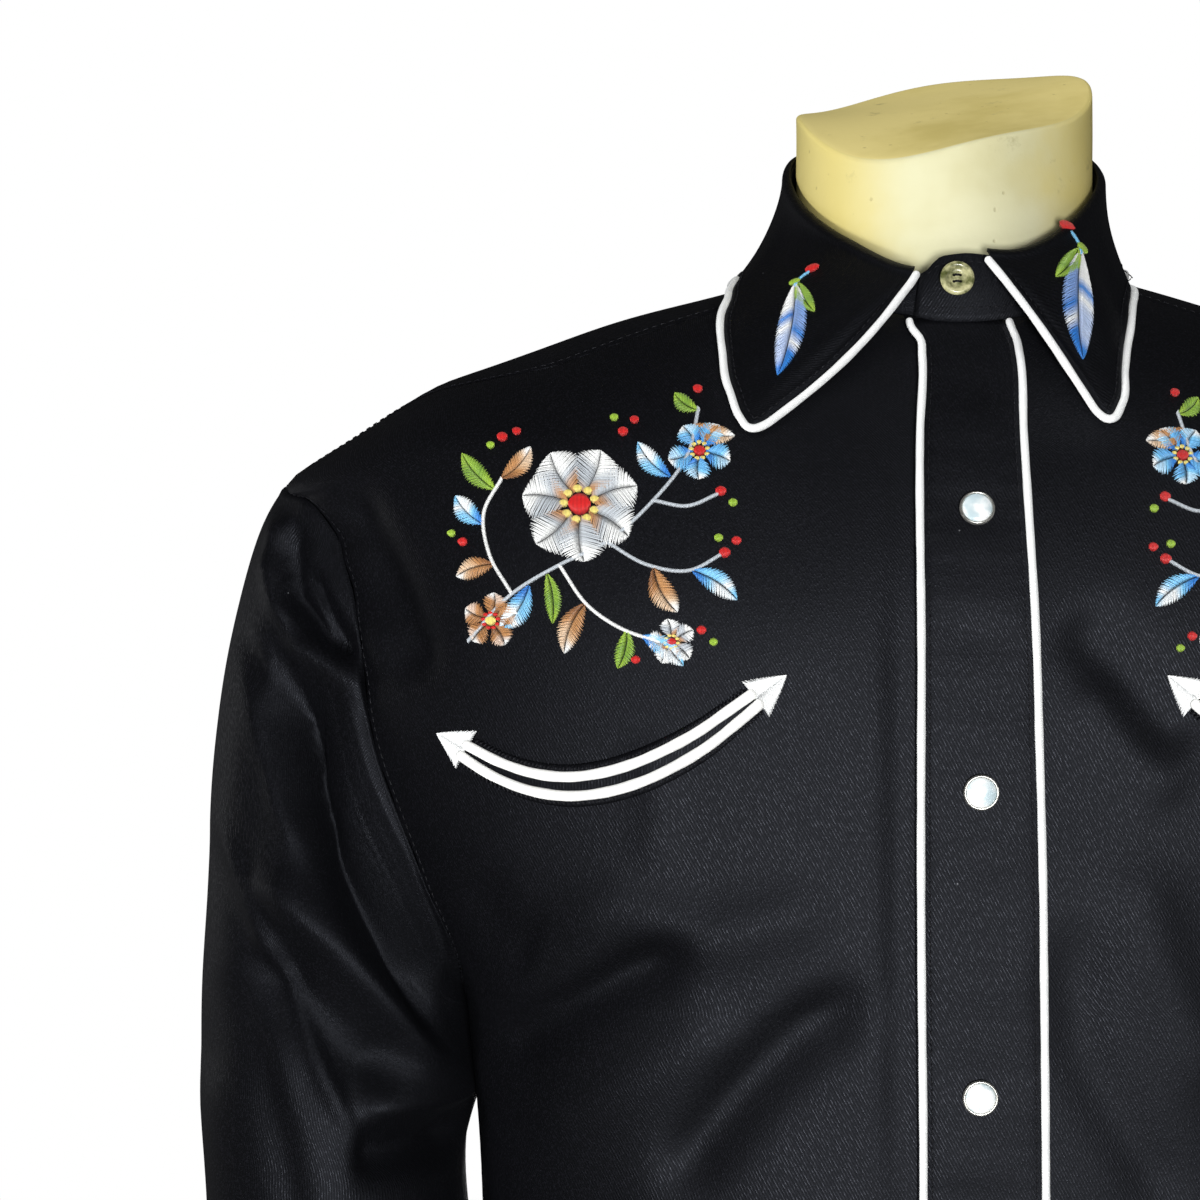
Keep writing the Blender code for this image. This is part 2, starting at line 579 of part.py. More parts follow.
def make_placket():
    z = placket_heights()
    clear = PIPING_RADIUS + LAY
    share = np.linspace(0, 1, 4)
    start = placket_edge(z, FREE_EDGE)[:, None] + clear
    end = placket_edge(z, SEWN_EDGE)[:, None] - clear
    x = start * (1 - share) + end * share
    points = centre_front(x, z[:, None] + 0 * x, LAY + CLOTH)
    cloth("placket", points, BLACK_TWILL)
    piping_z = np.concatenate((z[:-3], [row[0] for row in PLACKET_EDGES[-5:-1]], (0.772, PLACKET_TOP)))
    piping_z = np.unique(np.round(piping_z, 5))
    for column, name in ((FREE_EDGE, "placket_piping_right"), (SEWN_EDGE, "placket_piping_left")):
        route = centre_front(placket_edge(piping_z, column), piping_z, LAY + PIPING_RADIUS)
        cord(name, route, PIPING_RADIUS, WHITE_PIPING)


def turned(name, profile, steps, look):
    """A profile of (radius, z), from the top's middle down its outer side to the bottom's, turned about
    the object's own Z by a Screw modifier."""
    mesh = bpy.data.meshes.new(name)
    edges = [(k, k + 1) for k in range(len(profile) - 1)]
    mesh.from_pydata([(radius, 0.0, z) for radius, z in profile], edges, [])
    item = link_object(name, mesh, look)
    screw = item.modifiers.new("turn", "SCREW")
    screw.axis = "Z"
    screw.angle = 2 * pi
    screw.steps = steps
    screw.render_steps = steps
    screw.use_merge_vertices = True
    screw.merge_threshold = 0.00002
    screw.use_smooth_shade = True
    return item


# Pearl cap in a thin metal rim: (radius, z).
SNAP_PROFILE = ((0.0, 0.0026), (0.0030, 0.0024), (0.0049, 0.0017), (0.0054, 0.0019),
                (SNAP_RADIUS, 0.0010), (0.0057, 0.0), (0.0, 0.0))
SNAP_STEPS = 12


def stand_on(item, place, normal):
    """Stand an object, whose own +Z is its axis, on a point along a normal."""
    item.matrix_world = (Matrix.Translation(Vector(place))
                         @ Vector(normal).to_track_quat("Z", "Y").to_matrix().to_4x4())


def make_snaps():
    for number, z in enumerate(SNAP_HEIGHTS, start=1):
        turn, tape = locate(SNAP_X, z)
        normal = body_normal(turn, tape)
        item = turned(f"snap_{number}", SNAP_PROFILE, SNAP_STEPS, PEARL)
        stand_on(item, body_point(turn, tape, 2 * LAY + CLOTH + 0.0002), normal)


# ---------------------------------------------------------------- collar
STAND_WALL = 0.0016
STAND_START = radians(9)            # under end, on the wearer's left of the button
STAND_END = radians(-360 - 14.2)    # over end, on the wearer's right
FOLD_FRONT = 0.8215                 # height of the collar's fold at the front and at the back
FOLD_BACK = 0.8725


def fold_line_height(turn):
    """Height of the top of the stand: lowest at the front, highest at the back of the neck."""
    return FOLD_FRONT + (FOLD_BACK - FOLD_FRONT) * ((1 - np.cos(turn)) / 2) ** 0.76 + 0.002 * np.sin(turn)


def stand_point(turn, up, out=0.0):
    """Outer face of the collar stand; up runs from the neck seam (0) to the top (1). Its ends lap: the
    last stretch rides outside the first."""
    turn, up = np.broadcast_arrays(np.asarray(turn, float), np.asarray(up, float))
    sine, cosine = np.sin(turn), np.cos(turn)
    lap = (0.0014 * smooth_step(-turn, radians(296), radians(336))
           - 0.0012 * smooth_step(turn, radians(-56), radians(-20)))
    seam = body_base(turn, NECK_TAPE - 0.0005)
    base = seam + body_normal(turn, NECK_TAPE - 0.003) * 0.0005
    base[..., 2] += 0.0022 * smooth_step(turn, radians(-66), radians(-44))
    flat = np.stack((sine, -cosine, 0 * sine), axis=-1)
    low = base + flat * (STAND_WALL + lap)[..., None]
    width = 0.0578
    depth = np.where(cosine > 0, 0.0708, 0.0572)
    high = np.stack((width * sine + 0.0018, -depth * cosine, fold_line_height(turn)), axis=-1)
    high = high + flat * lap[..., None]
    corner = 1 - 0.22 * smooth_step(-turn, -STAND_END - radians(7), -STAND_END)
    rise = (up * corner)[..., None]
    bulge = 0.0008 * np.sin(pi * up)
    return low * (1 - rise) + high * rise + flat * (bulge + out)[..., None]


def make_stand():
    round_neck = np.radians(np.arange(9, -368, -12))
    turn = np.concatenate((round_neck, np.linspace(radians(-369), STAND_END, 3)))[::-1]
    up = np.linspace(0, 1, 4)
    cloth("collar_stand", stand_point(turn[None, :], up[:, None]), BLACK_COLLAR, wall=STAND_WALL)


LEAF_WALL = 0.0015
LEAF_OUT = 0.0034          # outer face above the shirt at the points
LEAF_OUT_STEEP = 0.0048    # and round the sides and back, where the leaf stands steeper


def leaf_line(line):
    """Fold turn, edge turn and edge tape of a line of the leaf. line counts the rows of LEAF_EDGE."""
    table = np.array(LEAF_EDGE, float)
    turn, tape = locate(table[:, 1], table[:, 2], table[:, 3])
    numbered = np.column_stack((np.arange(len(table)), np.radians(table[:, 0]), np.unwrap(turn), tape))
    return np.moveaxis(smooth_columns(numbered, line), -1, 0)


def leaf_point(line, down):
    """Outer face of the collar leaf; down runs from the fold over the stand (0) to the outer edge (1)."""
    line, down = np.broadcast_arrays(np.asarray(line, float), np.asarray(down, float))
    fold_turn, edge_turn, edge_tape = leaf_line(line)
    steep = (smooth_step(-fold_turn, radians(35), radians(70))
             * (1 - smooth_step(-fold_turn, radians(300), radians(330))))
    edge = body_point(edge_turn, edge_tape, LEAF_OUT + (LEAF_OUT_STEEP - LEAF_OUT) * steep)
    flat = np.stack((np.sin(fold_turn), -np.cos(fold_turn), 0 * fold_turn), axis=-1)
    upward = np.array((0.0, 0.0, 1.0))
    crest = stand_point(fold_turn, 1.0)
    roll = (np.clip(down / 0.12, 0, 1) * pi / 2)[..., None]
    rolled = crest + flat * (0.0042 * np.sin(roll) - 0.0008) + upward * (0.0034 * np.cos(roll) - 0.0010)
    fall = np.clip((down - 0.12) / 0.88, 0, 1)[..., None]
    low = crest + flat * 0.0034 - upward * 0.0010
    bulge = 0.0022 * np.sin(pi * fall) ** 0.8
    fallen = low * (1 - fall) + edge * fall + (flat * 0.75 + upward * 0.45) * bulge
    return np.where((down <= 0.12)[..., None], rolled, fallen)


def leaf_lines():
    """Lines of the leaf's grid: every row of the table, and the halves between them away from the points."""
    last = len(LEAF_EDGE) - 1
    return np.unique(np.concatenate((np.arange(last + 1), np.arange(3, last - 3) + 0.5)))


def leaf_border():
    """Centre line of the leaf's piping: right front edge, outer edge, left front edge, each moved off the
    leaf by the piping's radius and a gap."""
    last = len(LEAF_EDGE) - 1
    front = np.linspace(0.20, 0.96, 6)
    line = np.concatenate((np.zeros(6), leaf_lines(), np.full(6, last)))
    down = np.concatenate((front, np.ones(len(leaf_lines())), front[::-1]))
    points = leaf_point(line, down)
    along = np.gradient(points, axis=0)
    along /= np.linalg.norm(along, axis=1, keepdims=True)
    inner = leaf_point(np.clip(line, 1.5, last - 1.5), np.clip(down - 0.15, 0.12, 1)) - points
    away = np.sum(inner * along, axis=1, keepdims=True) * along - inner
    away /= np.linalg.norm(away, axis=1, keepdims=True)
    return points + away * (PIPING_RADIUS + 0.0005)


def make_leaf():
    down = np.array((0.0, 0.06, 0.12, 0.34, 0.56, 0.78, 1.0))
    points = leaf_point(leaf_lines()[None, ::-1], down[::-1, None])
    cloth("collar_leaf", points, BLACK_COLLAR, wall=LEAF_WALL)
    cord("collar_piping", leaf_border(), PIPING_RADIUS, WHITE_PIPING)


# Four-hole horn button with a raised rim: (radius, z).
BUTTON_PROFILE = ((0.0, 0.0019), (0.0034, 0.0019), (0.0046, 0.0027), (0.0058, 0.0027),
                  (BUTTON_RADIUS, 0.0018), (0.0060, 0.0004), (0.0045, 0.0), (0.0, 0.0))
BUTTON_TURN = radians(-2.5) - 2 * pi     # on the over end of the stand, just right of the middle
BUTTON_UP = 0.52                         # halfway up the stand
HOLE_REACH = 0.0017                      # from the button's middle to a hole's
HOLE_RADIUS = 0.0006
HOLE_DEPTH = 0.008                       # the cutters pass right through


def make_button():
    """The turned button on the front of the collar stand, with its four holes cut through."""
    button = turned("collar_button", BUTTON_PROFILE, 16, HORN)
    place = stand_point(np.array(BUTTON_TURN), np.array(BUTTON_UP), LAY)
    stand_on(button, place, (0.0, -1.0, 0.10))
    drill = bmesh.new()
    for corner in range(4):
        angle = pi / 4 + corner * pi / 2
        centre = Matrix.Translation((HOLE_REACH * np.cos(angle), HOLE_REACH * np.sin(angle), 0.001))
        bmesh.ops.create_cone(drill, cap_ends=True, segments=8, radius1=HOLE_RADIUS, radius2=HOLE_RADIUS,
                              depth=HOLE_DEPTH, matrix=centre)
    holes_mesh = bpy.data.meshes.new("button_holes")
    drill.to_mesh(holes_mesh)
    drill.free()
    holes = bpy.data.objects.new("button_holes", holes_mesh)
    CUTTERS.objects.link(holes)
    holes.matrix_world = button.matrix_world
    holes.hide_render = True
    holes.display_type = "WIRE"
    cut = button.modifiers.new("holes", "BOOLEAN")
    cut.operation = "DIFFERENCE"
    cut.solver = "EXACT"
    cut.object = holes


# ---------------------------------------------------------------- smile pockets
def pocket_frame(share):
    """x, z of the pocket's middle line and its unit tangent, at shares 0..1 of its length."""
    line = spaced(POCKET_LINE, 81)
    along = np.linspace(0, 1, 81)
    x = np.interp(share, along, line[:, 0])
    z = np.interp(share, along, line[:, 1])
    tangent = np.gradient(line, axis=0)
    tx = np.interp(share, along, tangent[:, 0])
    tz = np.interp(share, along, tangent[:, 1])
    size = np.hypot(tx, tz)
    return x, z, tx / size, tz / size


def pocket_spread(share):
    """Distance between the two cords: narrow at the ends, wide in the middle."""
    return POCKET_SPREAD_ENDS + (POCKET_SPREAD_MIDDLE - POCKET_SPREAD_ENDS) * np.sin(pi * share) ** 0.7


def on_pocket(share, across, out, sign):
    """A point beside the pocket's middle line, on the chest; sign +1 mirrors it to the wearer's left."""
    x, z, tx, tz = pocket_frame(share)
    side_x = -sign * (x - tz * across)
    turn, tape = locate(side_x, z + tx * across)
    return body_point(turn, tape, out)


def make_arrowhead(name, sign, inner_end):
    """A flat satin-stitched arrowhead at one end of a pocket: a seven-point outline with a raised middle."""
    share = 1.0 if inner_end else 0.0
    x, z, tx, tz = (float(value) for value in pocket_frame(share))
    if not inner_end:
        tx, tz = -tx, -tz
    start = 0.0012
    tip = ARROW_LENGTHS[inner_end]
    outline = ((start + 0.0008, 0.0024), (start - 0.0002, ARROW_HALF_WIDTH),
               (start + 0.5 * tip, 0.62 * ARROW_HALF_WIDTH), (start + tip, 0.0),
               (start + 0.5 * tip, -0.62 * ARROW_HALF_WIDTH), (start - 0.0002, -ARROW_HALF_WIDTH),
               (start + 0.0008, -0.0024))

    def place(along, across, out):
        side_x = -sign * (x + tx * along - tz * across)
        turn, tape = locate(side_x, z + tz * along + tx * across)
        return body_point(turn, tape, out)

    shape = bmesh.new()
    low = [shape.verts.new(place(a, b, LAY)) for a, b in outline]
    high = [shape.verts.new(place(a, b, LAY + 0.0012)) for a, b in outline]
    crown = shape.verts.new(place(start + 0.0040, 0.0, LAY + 0.0024))
    count = len(outline)
    for k in range(count):
        after = (k + 1) % count
        shape.faces.new((low[k], low[after], high[after], high[k]))
        shape.faces.new((high[k], high[after], crown))
    shape.faces.new(tuple(reversed(low)))
    bmesh.ops.recalc_face_normals(shape, faces=shape.faces)
    mesh = bpy.data.meshes.new(name)
    shape.to_mesh(mesh)
    shape.free()
    link_object(name, mesh, WHITE_THREAD)


WELT_WALL = 0.0010


def make_pocket(side, sign):
    """Welt, two cords and two arrowheads of one smile pocket."""
    share = np.linspace(0.02, 0.98, 15)
    reach = pocket_spread(share) / 2 + WELT_MARGIN * np.sin(pi * np.clip(share, 0.06, 0.94)) ** 0.25
    across = np.linspace(-1, 1, 4)[:, None] * reach
    points = on_pocket(share[None, :] + 0 * across, across, LAY + WELT_WALL, sign)
    if sign > 0:
        points = points[:, ::-1]
    cloth(f"pocket_welt_{side}", points, BLACK_WELT, wall=WELT_WALL)
    share = np.linspace(0.015, 0.985, 17)
    for level, name in ((1, "upper"), (-1, "lower")):
        route = on_pocket(share, level * pocket_spread(share) / 2, 2 * LAY + WELT_WALL + CORD_RADIUS, sign)
        cord(f"pocket_cord_{name}_{side}", route, CORD_RADIUS, WHITE_PIPING)
    make_arrowhead(f"arrowhead_outer_{side}", sign, inner_end=False)
    make_arrowhead(f"arrowhead_inner_{side}", sign, inner_end=True)


# ---------------------------------------------------------------- sleeves and cuffs
SLEEVE_UPPER_ROWS = 13
SLEEVE_SIDES = 2 * ARMHOLE_STEPS


def armhole_loop(sign):
    """Points of an armhole, 0 at the armpit, then up the front, over the shoulder point and down the back,
    each moved into the hole by the seam gap. sign -1 is the wearer's right; the left one is mirrored."""
    front, back = armhole_turn(back=False), armhole_turn(back=True)
    turn = np.concatenate((front, back[-2:0:-1]))
    tape = np.concatenate((ARMHOLE_TAPE, ARMHOLE_TAPE[-2:0:-1]))
    points = body_point(sign * turn, tape) * np.array((-sign, 1.0, 1.0))
    step = 0.001
    around = (body_base(-turn + step, tape) - body_base(-turn - step, tape)) / (2 * step)
    upward = (body_base(-turn, tape + step) - body_base(-turn, tape - step)) / (2 * step)
    middle_tape = (ARMPIT_TAPE + SHOULDER_TAPE) / 2
    inward = around * (-pi / 2 + turn)[:, None] + upward * (middle_tape - tape)[:, None]
    inward /= np.linalg.norm(inward, axis=1, keepdims=True)
    return points + inward * (SEAM + 0.00012)


def sleeve_point(side, down, sign):
    """A sleeve, in the wearer's right place whatever its sign. side 0 is the armpit line, 0.25 the front,
    0.5 the outside and 0.75 the back. down runs from the armhole (0) along cubic Bezier paths to the upper
    arm ring (1), and then ring by ring to the cuff (2)."""
    side, down = np.broadcast_arrays(np.asarray(side, float), np.asarray(down, float))
    loop = armhole_loop(sign)
    closed = np.vstack((loop, loop[:1]))
    start = np.stack([np.interp(side % 1.0, np.linspace(0, 1, len(closed)), closed[:, axis])
                      for axis in range(3)], axis=-1)
    angle = 2 * pi * side
    depths = np.array([row[0] for row in SLEEVE_RINGS])
    ring_tape = np.clip(down - 1, 0, 1) * (depths[0] - depths[-1])
    table = [(depths[0] - row[0], *row[1:]) for row in SLEEVE_RINGS]
    centre_x, centre_y, half_x, half_y = np.moveaxis(smooth_columns(table, ring_tape), -1, 0)
    round_out = np.cos(angle)
    round_back = -np.sin(angle)
    ring = np.stack((centre_x + half_x * round_out, centre_y + half_y * round_back,
                     depths[0] - ring_tape), axis=-1)
    ring[..., 2] += 0.016 * (1 - np.cos(angle)) / 2 * np.clip(2 - down, 0, 1)
    reach = np.linalg.norm(ring - start, axis=-1, keepdims=True)
    tilt = np.radians(28 + 54 * ((1 + np.cos(angle)) / 2) ** 1.5)
    leave = np.stack((-np.cos(tilt), 0.25 * round_back * np.cos(tilt), -np.sin(tilt)), axis=-1)
    rise = np.array((0.0, 0.0, 1.0))
    t = np.clip(down, 0, 1)[..., None]
    first = start + leave * reach * 0.17
    second = ring + rise * reach * 0.33
    curve = ((1 - t) ** 3 * start + 3 * (1 - t) ** 2 * t * first + 3 * (1 - t) * t**2 * second + t**3 * ring)
    return np.where((down <= 1)[..., None], curve, ring)


def sleeve_grid(side, down, folds, sign, out=0.0):
    """sleeve_point over a grid of side (columns) and down (rows), with the folds and an offset added along
    the normals."""
    small = 0.003
    points = sleeve_point(side, down, sign)
    around = sleeve_point(side + small, down, sign) - sleeve_point(side - small, down, sign)
    falling = (sleeve_point(side, down + small, sign)
               - sleeve_point(side, np.maximum(down - small, 0), sign))
    normal = np.cross(falling, around)
    normal /= np.maximum(np.linalg.norm(normal, axis=-1, keepdims=True), 1e-9)
    outward = points - sleeve_point((side + 0.5) % 1.0, down, sign)
    normal *= np.where(np.sum(normal * outward, axis=-1, keepdims=True) < 0, -1, 1)
    facing = -np.sin(2 * pi * side) + 0 * down
    fade = smooth_step(down, 0.0, 0.22) * (1 - smooth_step(down, 1.86, 1.97))
    height = fold_height(points, folds, facing) * fade
    return points + normal * (height + out)[..., None]


def varied(folds):
    """The other sleeve's folds: the same list with heights and spreads changed a little."""
    return tuple((side, x0, z0 - 0.006 * (k % 3), x1, z1 + 0.005 * (k % 2), height * (0.8 + 0.15 * (k % 3)),
                  spread * (1.1 - 0.08 * (k % 2)))
                 for k, (side, x0, z0, x1, z1, height, spread) in enumerate(folds))


def sleeve_rows():
    """Rows of the sleeve: along the Bezier paths, then at the table's rings and between the upper ones."""
    z = np.array([row[0] for row in SLEEVE_RINGS])
    z = np.sort(np.concatenate((z, (z[:3] + z[1:4]) / 2)))[::-1]
    return np.concatenate((np.linspace(0, 1, SLEEVE_UPPER_ROWS), 1 + (z[0] - z[1:]) / (z[0] - z[-1])))


def mirrored(points, sign):
    """Turn a wearer's-right grid into the left one (sign +1), keeping its faces outward."""
    if sign < 0:
        return points
    return (points * np.array((-1.0, 1.0, 1.0)))[:, ::-1]


def cuff_point(angle, z, out):
    """Wearer's right cuff: an oval band whose last stretch laps over its first."""
    lap = CUFF_LAP_LIFT * smooth_step(angle, CUFF_SEAM - radians(30), CUFF_SEAM - radians(2))
    flare = 0.0012 * (CUFF_TOP - z) / (CUFF_TOP - CUFF_BOTTOM)
    half_x = CUFF_HALF[0] + lap + flare + out
    half_y = CUFF_HALF[1] + lap + flare + out
    return np.stack((CUFF_CENTRE[0] - half_x * np.sin(angle), CUFF_CENTRE[1] - half_y * np.cos(angle), z),
                    axis=-1)


def make_sleeve(name, sign):
    folds = SLEEVE_FOLDS if sign < 0 else varied(SLEEVE_FOLDS)
    side = np.arange(SLEEVE_SIDES) / SLEEVE_SIDES
    down = sleeve_rows()
    points = sleeve_grid(side[None, :] + 0 * down[:, None], down[:, None] + 0 * side[None, :], folds, sign)
    points = points[::-1, ::-1]
    cloth(f"sleeve_{name}", mirrored(points, sign), BLACK_TWILL, closed=True)

    band = np.linspace(*SLEEVE_PLACKET, 3)
    fall = down[-8:-2]
    points = sleeve_grid(band[None, :] + 0 * fall[:, None], fall[:, None] + 0 * band[None, :], folds, sign,
                         LAY + CLOTH)
    cloth(f"sleeve_placket_{name}", mirrored(points[::-1, ::-1], sign), BLACK_TWILL)

    angle = np.linspace(CUFF_SEAM - 2 * pi, CUFF_SEAM + CUFF_LAP, 33)
    z = np.linspace(CUFF_BOTTOM, CUFF_TOP, 3)
    points = cuff_point(angle[None, :] + 0 * z[:, None], z[:, None] + 0 * angle[None, :], 0.0)
    cloth(f"cuff_{name}", mirrored(points[:, ::-1], sign), BLACK_TWILL, wall=CUFF_WALL)
    for number, height in enumerate(CUFF_SNAP_HEIGHTS, start=1):
        spot = np.array(CUFF_SEAM + CUFF_LAP / 2)
        place = cuff_point(spot, np.array(height), LAY)
        ahead = cuff_point(spot + 0.02, np.array(height), LAY) - place
        normal = np.cross(ahead, (0.0, 0.0, 1.0))
        away = place[:2] - np.array(CUFF_CENTRE)
        normal *= np.sign(normal[0] * away[0] + normal[1] * away[1])
        place, normal = place * (-sign, 1, 1), normal * (-sign, 1, 1)
        item = turned(f"cuff_snap_{name}_{number}", SNAP_PROFILE, SNAP_STEPS, PEARL)
        stand_on(item, place, normal)


# ---------------------------------------------------------------- build
clear_scene()
SHIRT = make_collection("western_snap_shirt")
CUTTERS = make_collection("cutters")
make_dress_form()
make_fronts()
make_back()
make_yoke()
make_placket()
make_snaps()
make_stand()
make_leaf()
make_button()
make_pocket("right", -1)
make_pocket("left", 1)
make_sleeve("right", -1)
make_sleeve("left", 1)
bpy.context.view_layer.update()
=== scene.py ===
# %% [markdown]
# # A western snap shirt on a dress form
#
# This lesson dresses a plain engineering model of a shirt. The solids say where every panel, cord and snap
# lies. Here each of them gets the finish of the real garment: black cotton twill with a faint blue sheen,
# white piping, pearl snaps, satin-stitched arrowheads and flower sprays.
#
# A shirt is flat cloth wrapped round a body, so nearly every piece below is one sheet: a grid of points on
# a single master surface, moved a little in or out where the cloth folds.

# %% Load the frame
import bpy
import numpy as np
from collections import namedtuple
from math import cos, pi, radians, sin
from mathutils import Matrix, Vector


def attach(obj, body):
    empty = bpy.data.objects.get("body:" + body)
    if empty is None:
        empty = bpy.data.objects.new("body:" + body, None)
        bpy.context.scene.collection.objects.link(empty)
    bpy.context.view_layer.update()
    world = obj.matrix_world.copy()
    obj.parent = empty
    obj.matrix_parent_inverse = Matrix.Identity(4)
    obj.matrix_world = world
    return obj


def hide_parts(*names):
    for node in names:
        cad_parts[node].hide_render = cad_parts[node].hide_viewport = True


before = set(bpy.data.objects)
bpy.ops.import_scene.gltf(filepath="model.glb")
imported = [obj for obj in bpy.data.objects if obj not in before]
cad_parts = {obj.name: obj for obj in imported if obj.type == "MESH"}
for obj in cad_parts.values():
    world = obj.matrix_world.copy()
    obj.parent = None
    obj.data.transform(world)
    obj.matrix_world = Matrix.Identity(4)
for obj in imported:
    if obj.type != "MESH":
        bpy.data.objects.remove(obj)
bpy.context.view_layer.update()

print("solids in the frame:", len(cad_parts))

# %% [markdown]
# ## The camera
#
# A portrait lens at chest height, a little over a metre from the cloth and level with it. A long lens keeps
# the collar from looking larger than the chest. The view crops the garment below and on the wearer's left,
# but all of it is modelled.

# %% Camera
CAMERA_PLACE = (-0.126, -1.12, 0.70)
CAMERA_LENS = 90.0
camera_data = bpy.data.cameras.new("camera")
camera_data.lens = CAMERA_LENS
camera_data.sensor_width = 36.0
camera_data.clip_start = 0.05
camera = bpy.data.objects.new("camera", camera_data)
camera.location = CAMERA_PLACE
camera.rotation_euler = (pi / 2, 0.0, 0.0)
bpy.context.scene.collection.objects.link(camera)
bpy.context.scene.camera = camera
print("camera", CAMERA_PLACE, "lens", CAMERA_LENS)

# %% [markdown]
# ## The studio
#
# Black cloth shows its folds only through light that grazes or mirrors off it. The key is one soft box in
# front of the chest and below the lens, so cloth that faces it is bright and steep flanks stay dark. The
# fills from the left and from above are hidden from mirror-like rays, so they light the pale form and reach
# the cloth only in a dull way. A weak box behind, on the camera's left, draws the sleeve's outer edge, and
# the last one does the key's work for the back. The sky is plain white to the eye, and dimmer as a light,
# so the shadows in the folds stay deep.

# %% Lights and world
SKY_SEEN = 1.0
SKY_LIGHT = 0.04
FLOOR_RADIUS = 2.1
LIGHT_AIM = Vector((0.0, 0.0, 0.62))
SOFT_BOXES = (      # name, place, size, watts, and whether mirror-like rays see it
    ("key", (0.08, -2.12, 0.42), 0.45, 34.0, True),
    ("side_left", (-1.80, -0.90, 0.80), 0.50, 24.0, False),
    ("top", (0.10, -0.10, 2.20), 0.40, 9.5, False),
    ("left_rim", (-1.90, 1.05, 0.80), 0.60, 2.6, True),
    ("back", (-0.08, 2.12, 0.42), 0.45, 22.0, True),
)


def soft_box(name, place, size, watts, glossy):
    """A square area light aimed at the chest; one that isn't glossy acts like a polarised fill."""
    light = bpy.data.lights.new(name, "AREA")
    light.size = size
    light.energy = watts
    item = bpy.data.objects.new(name, light)
    item.location = place
    item.visible_glossy = glossy
    item.rotation_euler = (LIGHT_AIM - Vector(place)).to_track_quat("-Z", "Y").to_euler()
    bpy.context.scene.collection.objects.link(item)


for box in SOFT_BOXES:
    soft_box(*box)
world = bpy.data.worlds.new("studio")
bpy.context.scene.world = world
world.use_nodes = True
sky = world.node_tree.nodes["Background"]
sky.inputs["Color"].default_value = (1.0, 1.0, 1.0, 1.0)
eye_ray = world.node_tree.nodes.new("ShaderNodeLightPath")
strength = world.node_tree.nodes.new("ShaderNodeMapRange")
strength.inputs["To Min"].default_value = SKY_LIGHT
strength.inputs["To Max"].default_value = SKY_SEEN
world.node_tree.links.new(eye_ray.outputs["Is Camera Ray"], strength.inputs["Value"])
world.node_tree.links.new(strength.outputs["Result"], sky.inputs["Strength"])
bpy.context.scene.view_settings.view_transform = "Standard"
print("soft boxes:", len(SOFT_BOXES))

# %% [markdown]
# ## Writing shaders as sums
#
# A procedural material is arithmetic on coordinates. Placing dozens of Math nodes by hand hides that, so a
# tiny class wraps a socket and lets Python's operators add the nodes. `1 - mask` works too, through the
# reflected operators.

# %% Shader helpers
class Value:
    """A socket that can be used in sums; each operator adds one Math node."""

    def __init__(self, shader, socket):
        self.shader = shader
        self.socket = socket

    def math(self, operation, *others):
        return self.shader.math(operation, self, *others)

    def __add__(self, other):
        return self.math("ADD", other)

    def __mul__(self, other):
        return self.math("MULTIPLY", other)

    def __sub__(self, other):
        return self.math("SUBTRACT", other)

    def __rsub__(self, other):
        return self.shader.math("SUBTRACT", other, self)

    def __truediv__(self, other):
        return self.math("DIVIDE", other)

    def __pow__(self, other):
        return self.math("POWER", other)

    __radd__ = __add__
    __rmul__ = __mul__


class Shader:
    """A material with one Principled BSDF and methods that add the nodes before it."""

    def __init__(self, name, **constants):
        self.material = bpy.data.materials.new(name)
        self.material.use_nodes = True
        self.tree = self.material.node_tree
        self.surface = self.tree.nodes["Principled BSDF"]
        for socket, value in constants.items():
            self.surface.inputs[socket.replace("_", " ")].default_value = value

    def node(self, kind, settings, inputs, output=0):
        """Add a node of a type with its settings first, then the values or links of its sockets."""
        made = self.tree.nodes.new(kind)
        for key, value in settings.items():
            setattr(made, key, value)
        for key, value in inputs.items():
            self.plug(made.inputs[key], value)
        return Value(self, made.outputs[output])

    def plug(self, socket, value):
        if isinstance(value, Value):
            self.tree.links.new(value.socket, socket)
        else:
            socket.default_value = value

    def math(self, operation, *terms):
        return self.node("ShaderNodeMath", {"operation": operation}, dict(enumerate(terms)))

    def mix(self, factor, low, high):
        return self.node("ShaderNodeMix", {"data_type": "RGBA"}, {0: factor, 6: low, 7: high}, 2)

    def blend(self, value, low, high):
        """An S-curve from 0 at low to 1 at high."""
        return self.node("ShaderNodeMapRange", {"interpolation_type": "SMOOTHSTEP"},
                         {"Value": value, "From Min": low, "From Max": high})

    def place(self):
        return self.node("ShaderNodeTexCoord", {}, {}, "Object")

    def grain(self):
        """Distances along and up the cloth, in metres, from the piece's own UV map."""
        uv = self.node("ShaderNodeUVMap", {"uv_map": "grain"}, {})
        return self.axis(uv, 0), self.axis(uv, 1)

    def axis(self, vector, number):
        return self.node("ShaderNodeSeparateXYZ", {}, {0: vector}, number)

    def vector(self, *terms):
        return self.node("ShaderNodeCombineXYZ", {}, dict(enumerate(terms)))

    def noise(self, vector, scale, detail=2.0, roughness=0.5):
        return self.node("ShaderNodeTexNoise", {}, {"Vector": vector, "Scale": scale, "Detail": detail,
                                                    "Roughness": roughness})

    def bump(self, height, distance, strength=1.0):
        normal = self.node("ShaderNodeBump", {}, {"Height": height, "Distance": distance,
                                                  "Strength": strength})
        self.feed("Normal", normal)

    def feed(self, socket, value):
        self.plug(self.surface.inputs[socket], value)


def rgb(red, green, blue):
    return (red, green, blue, 1.0)
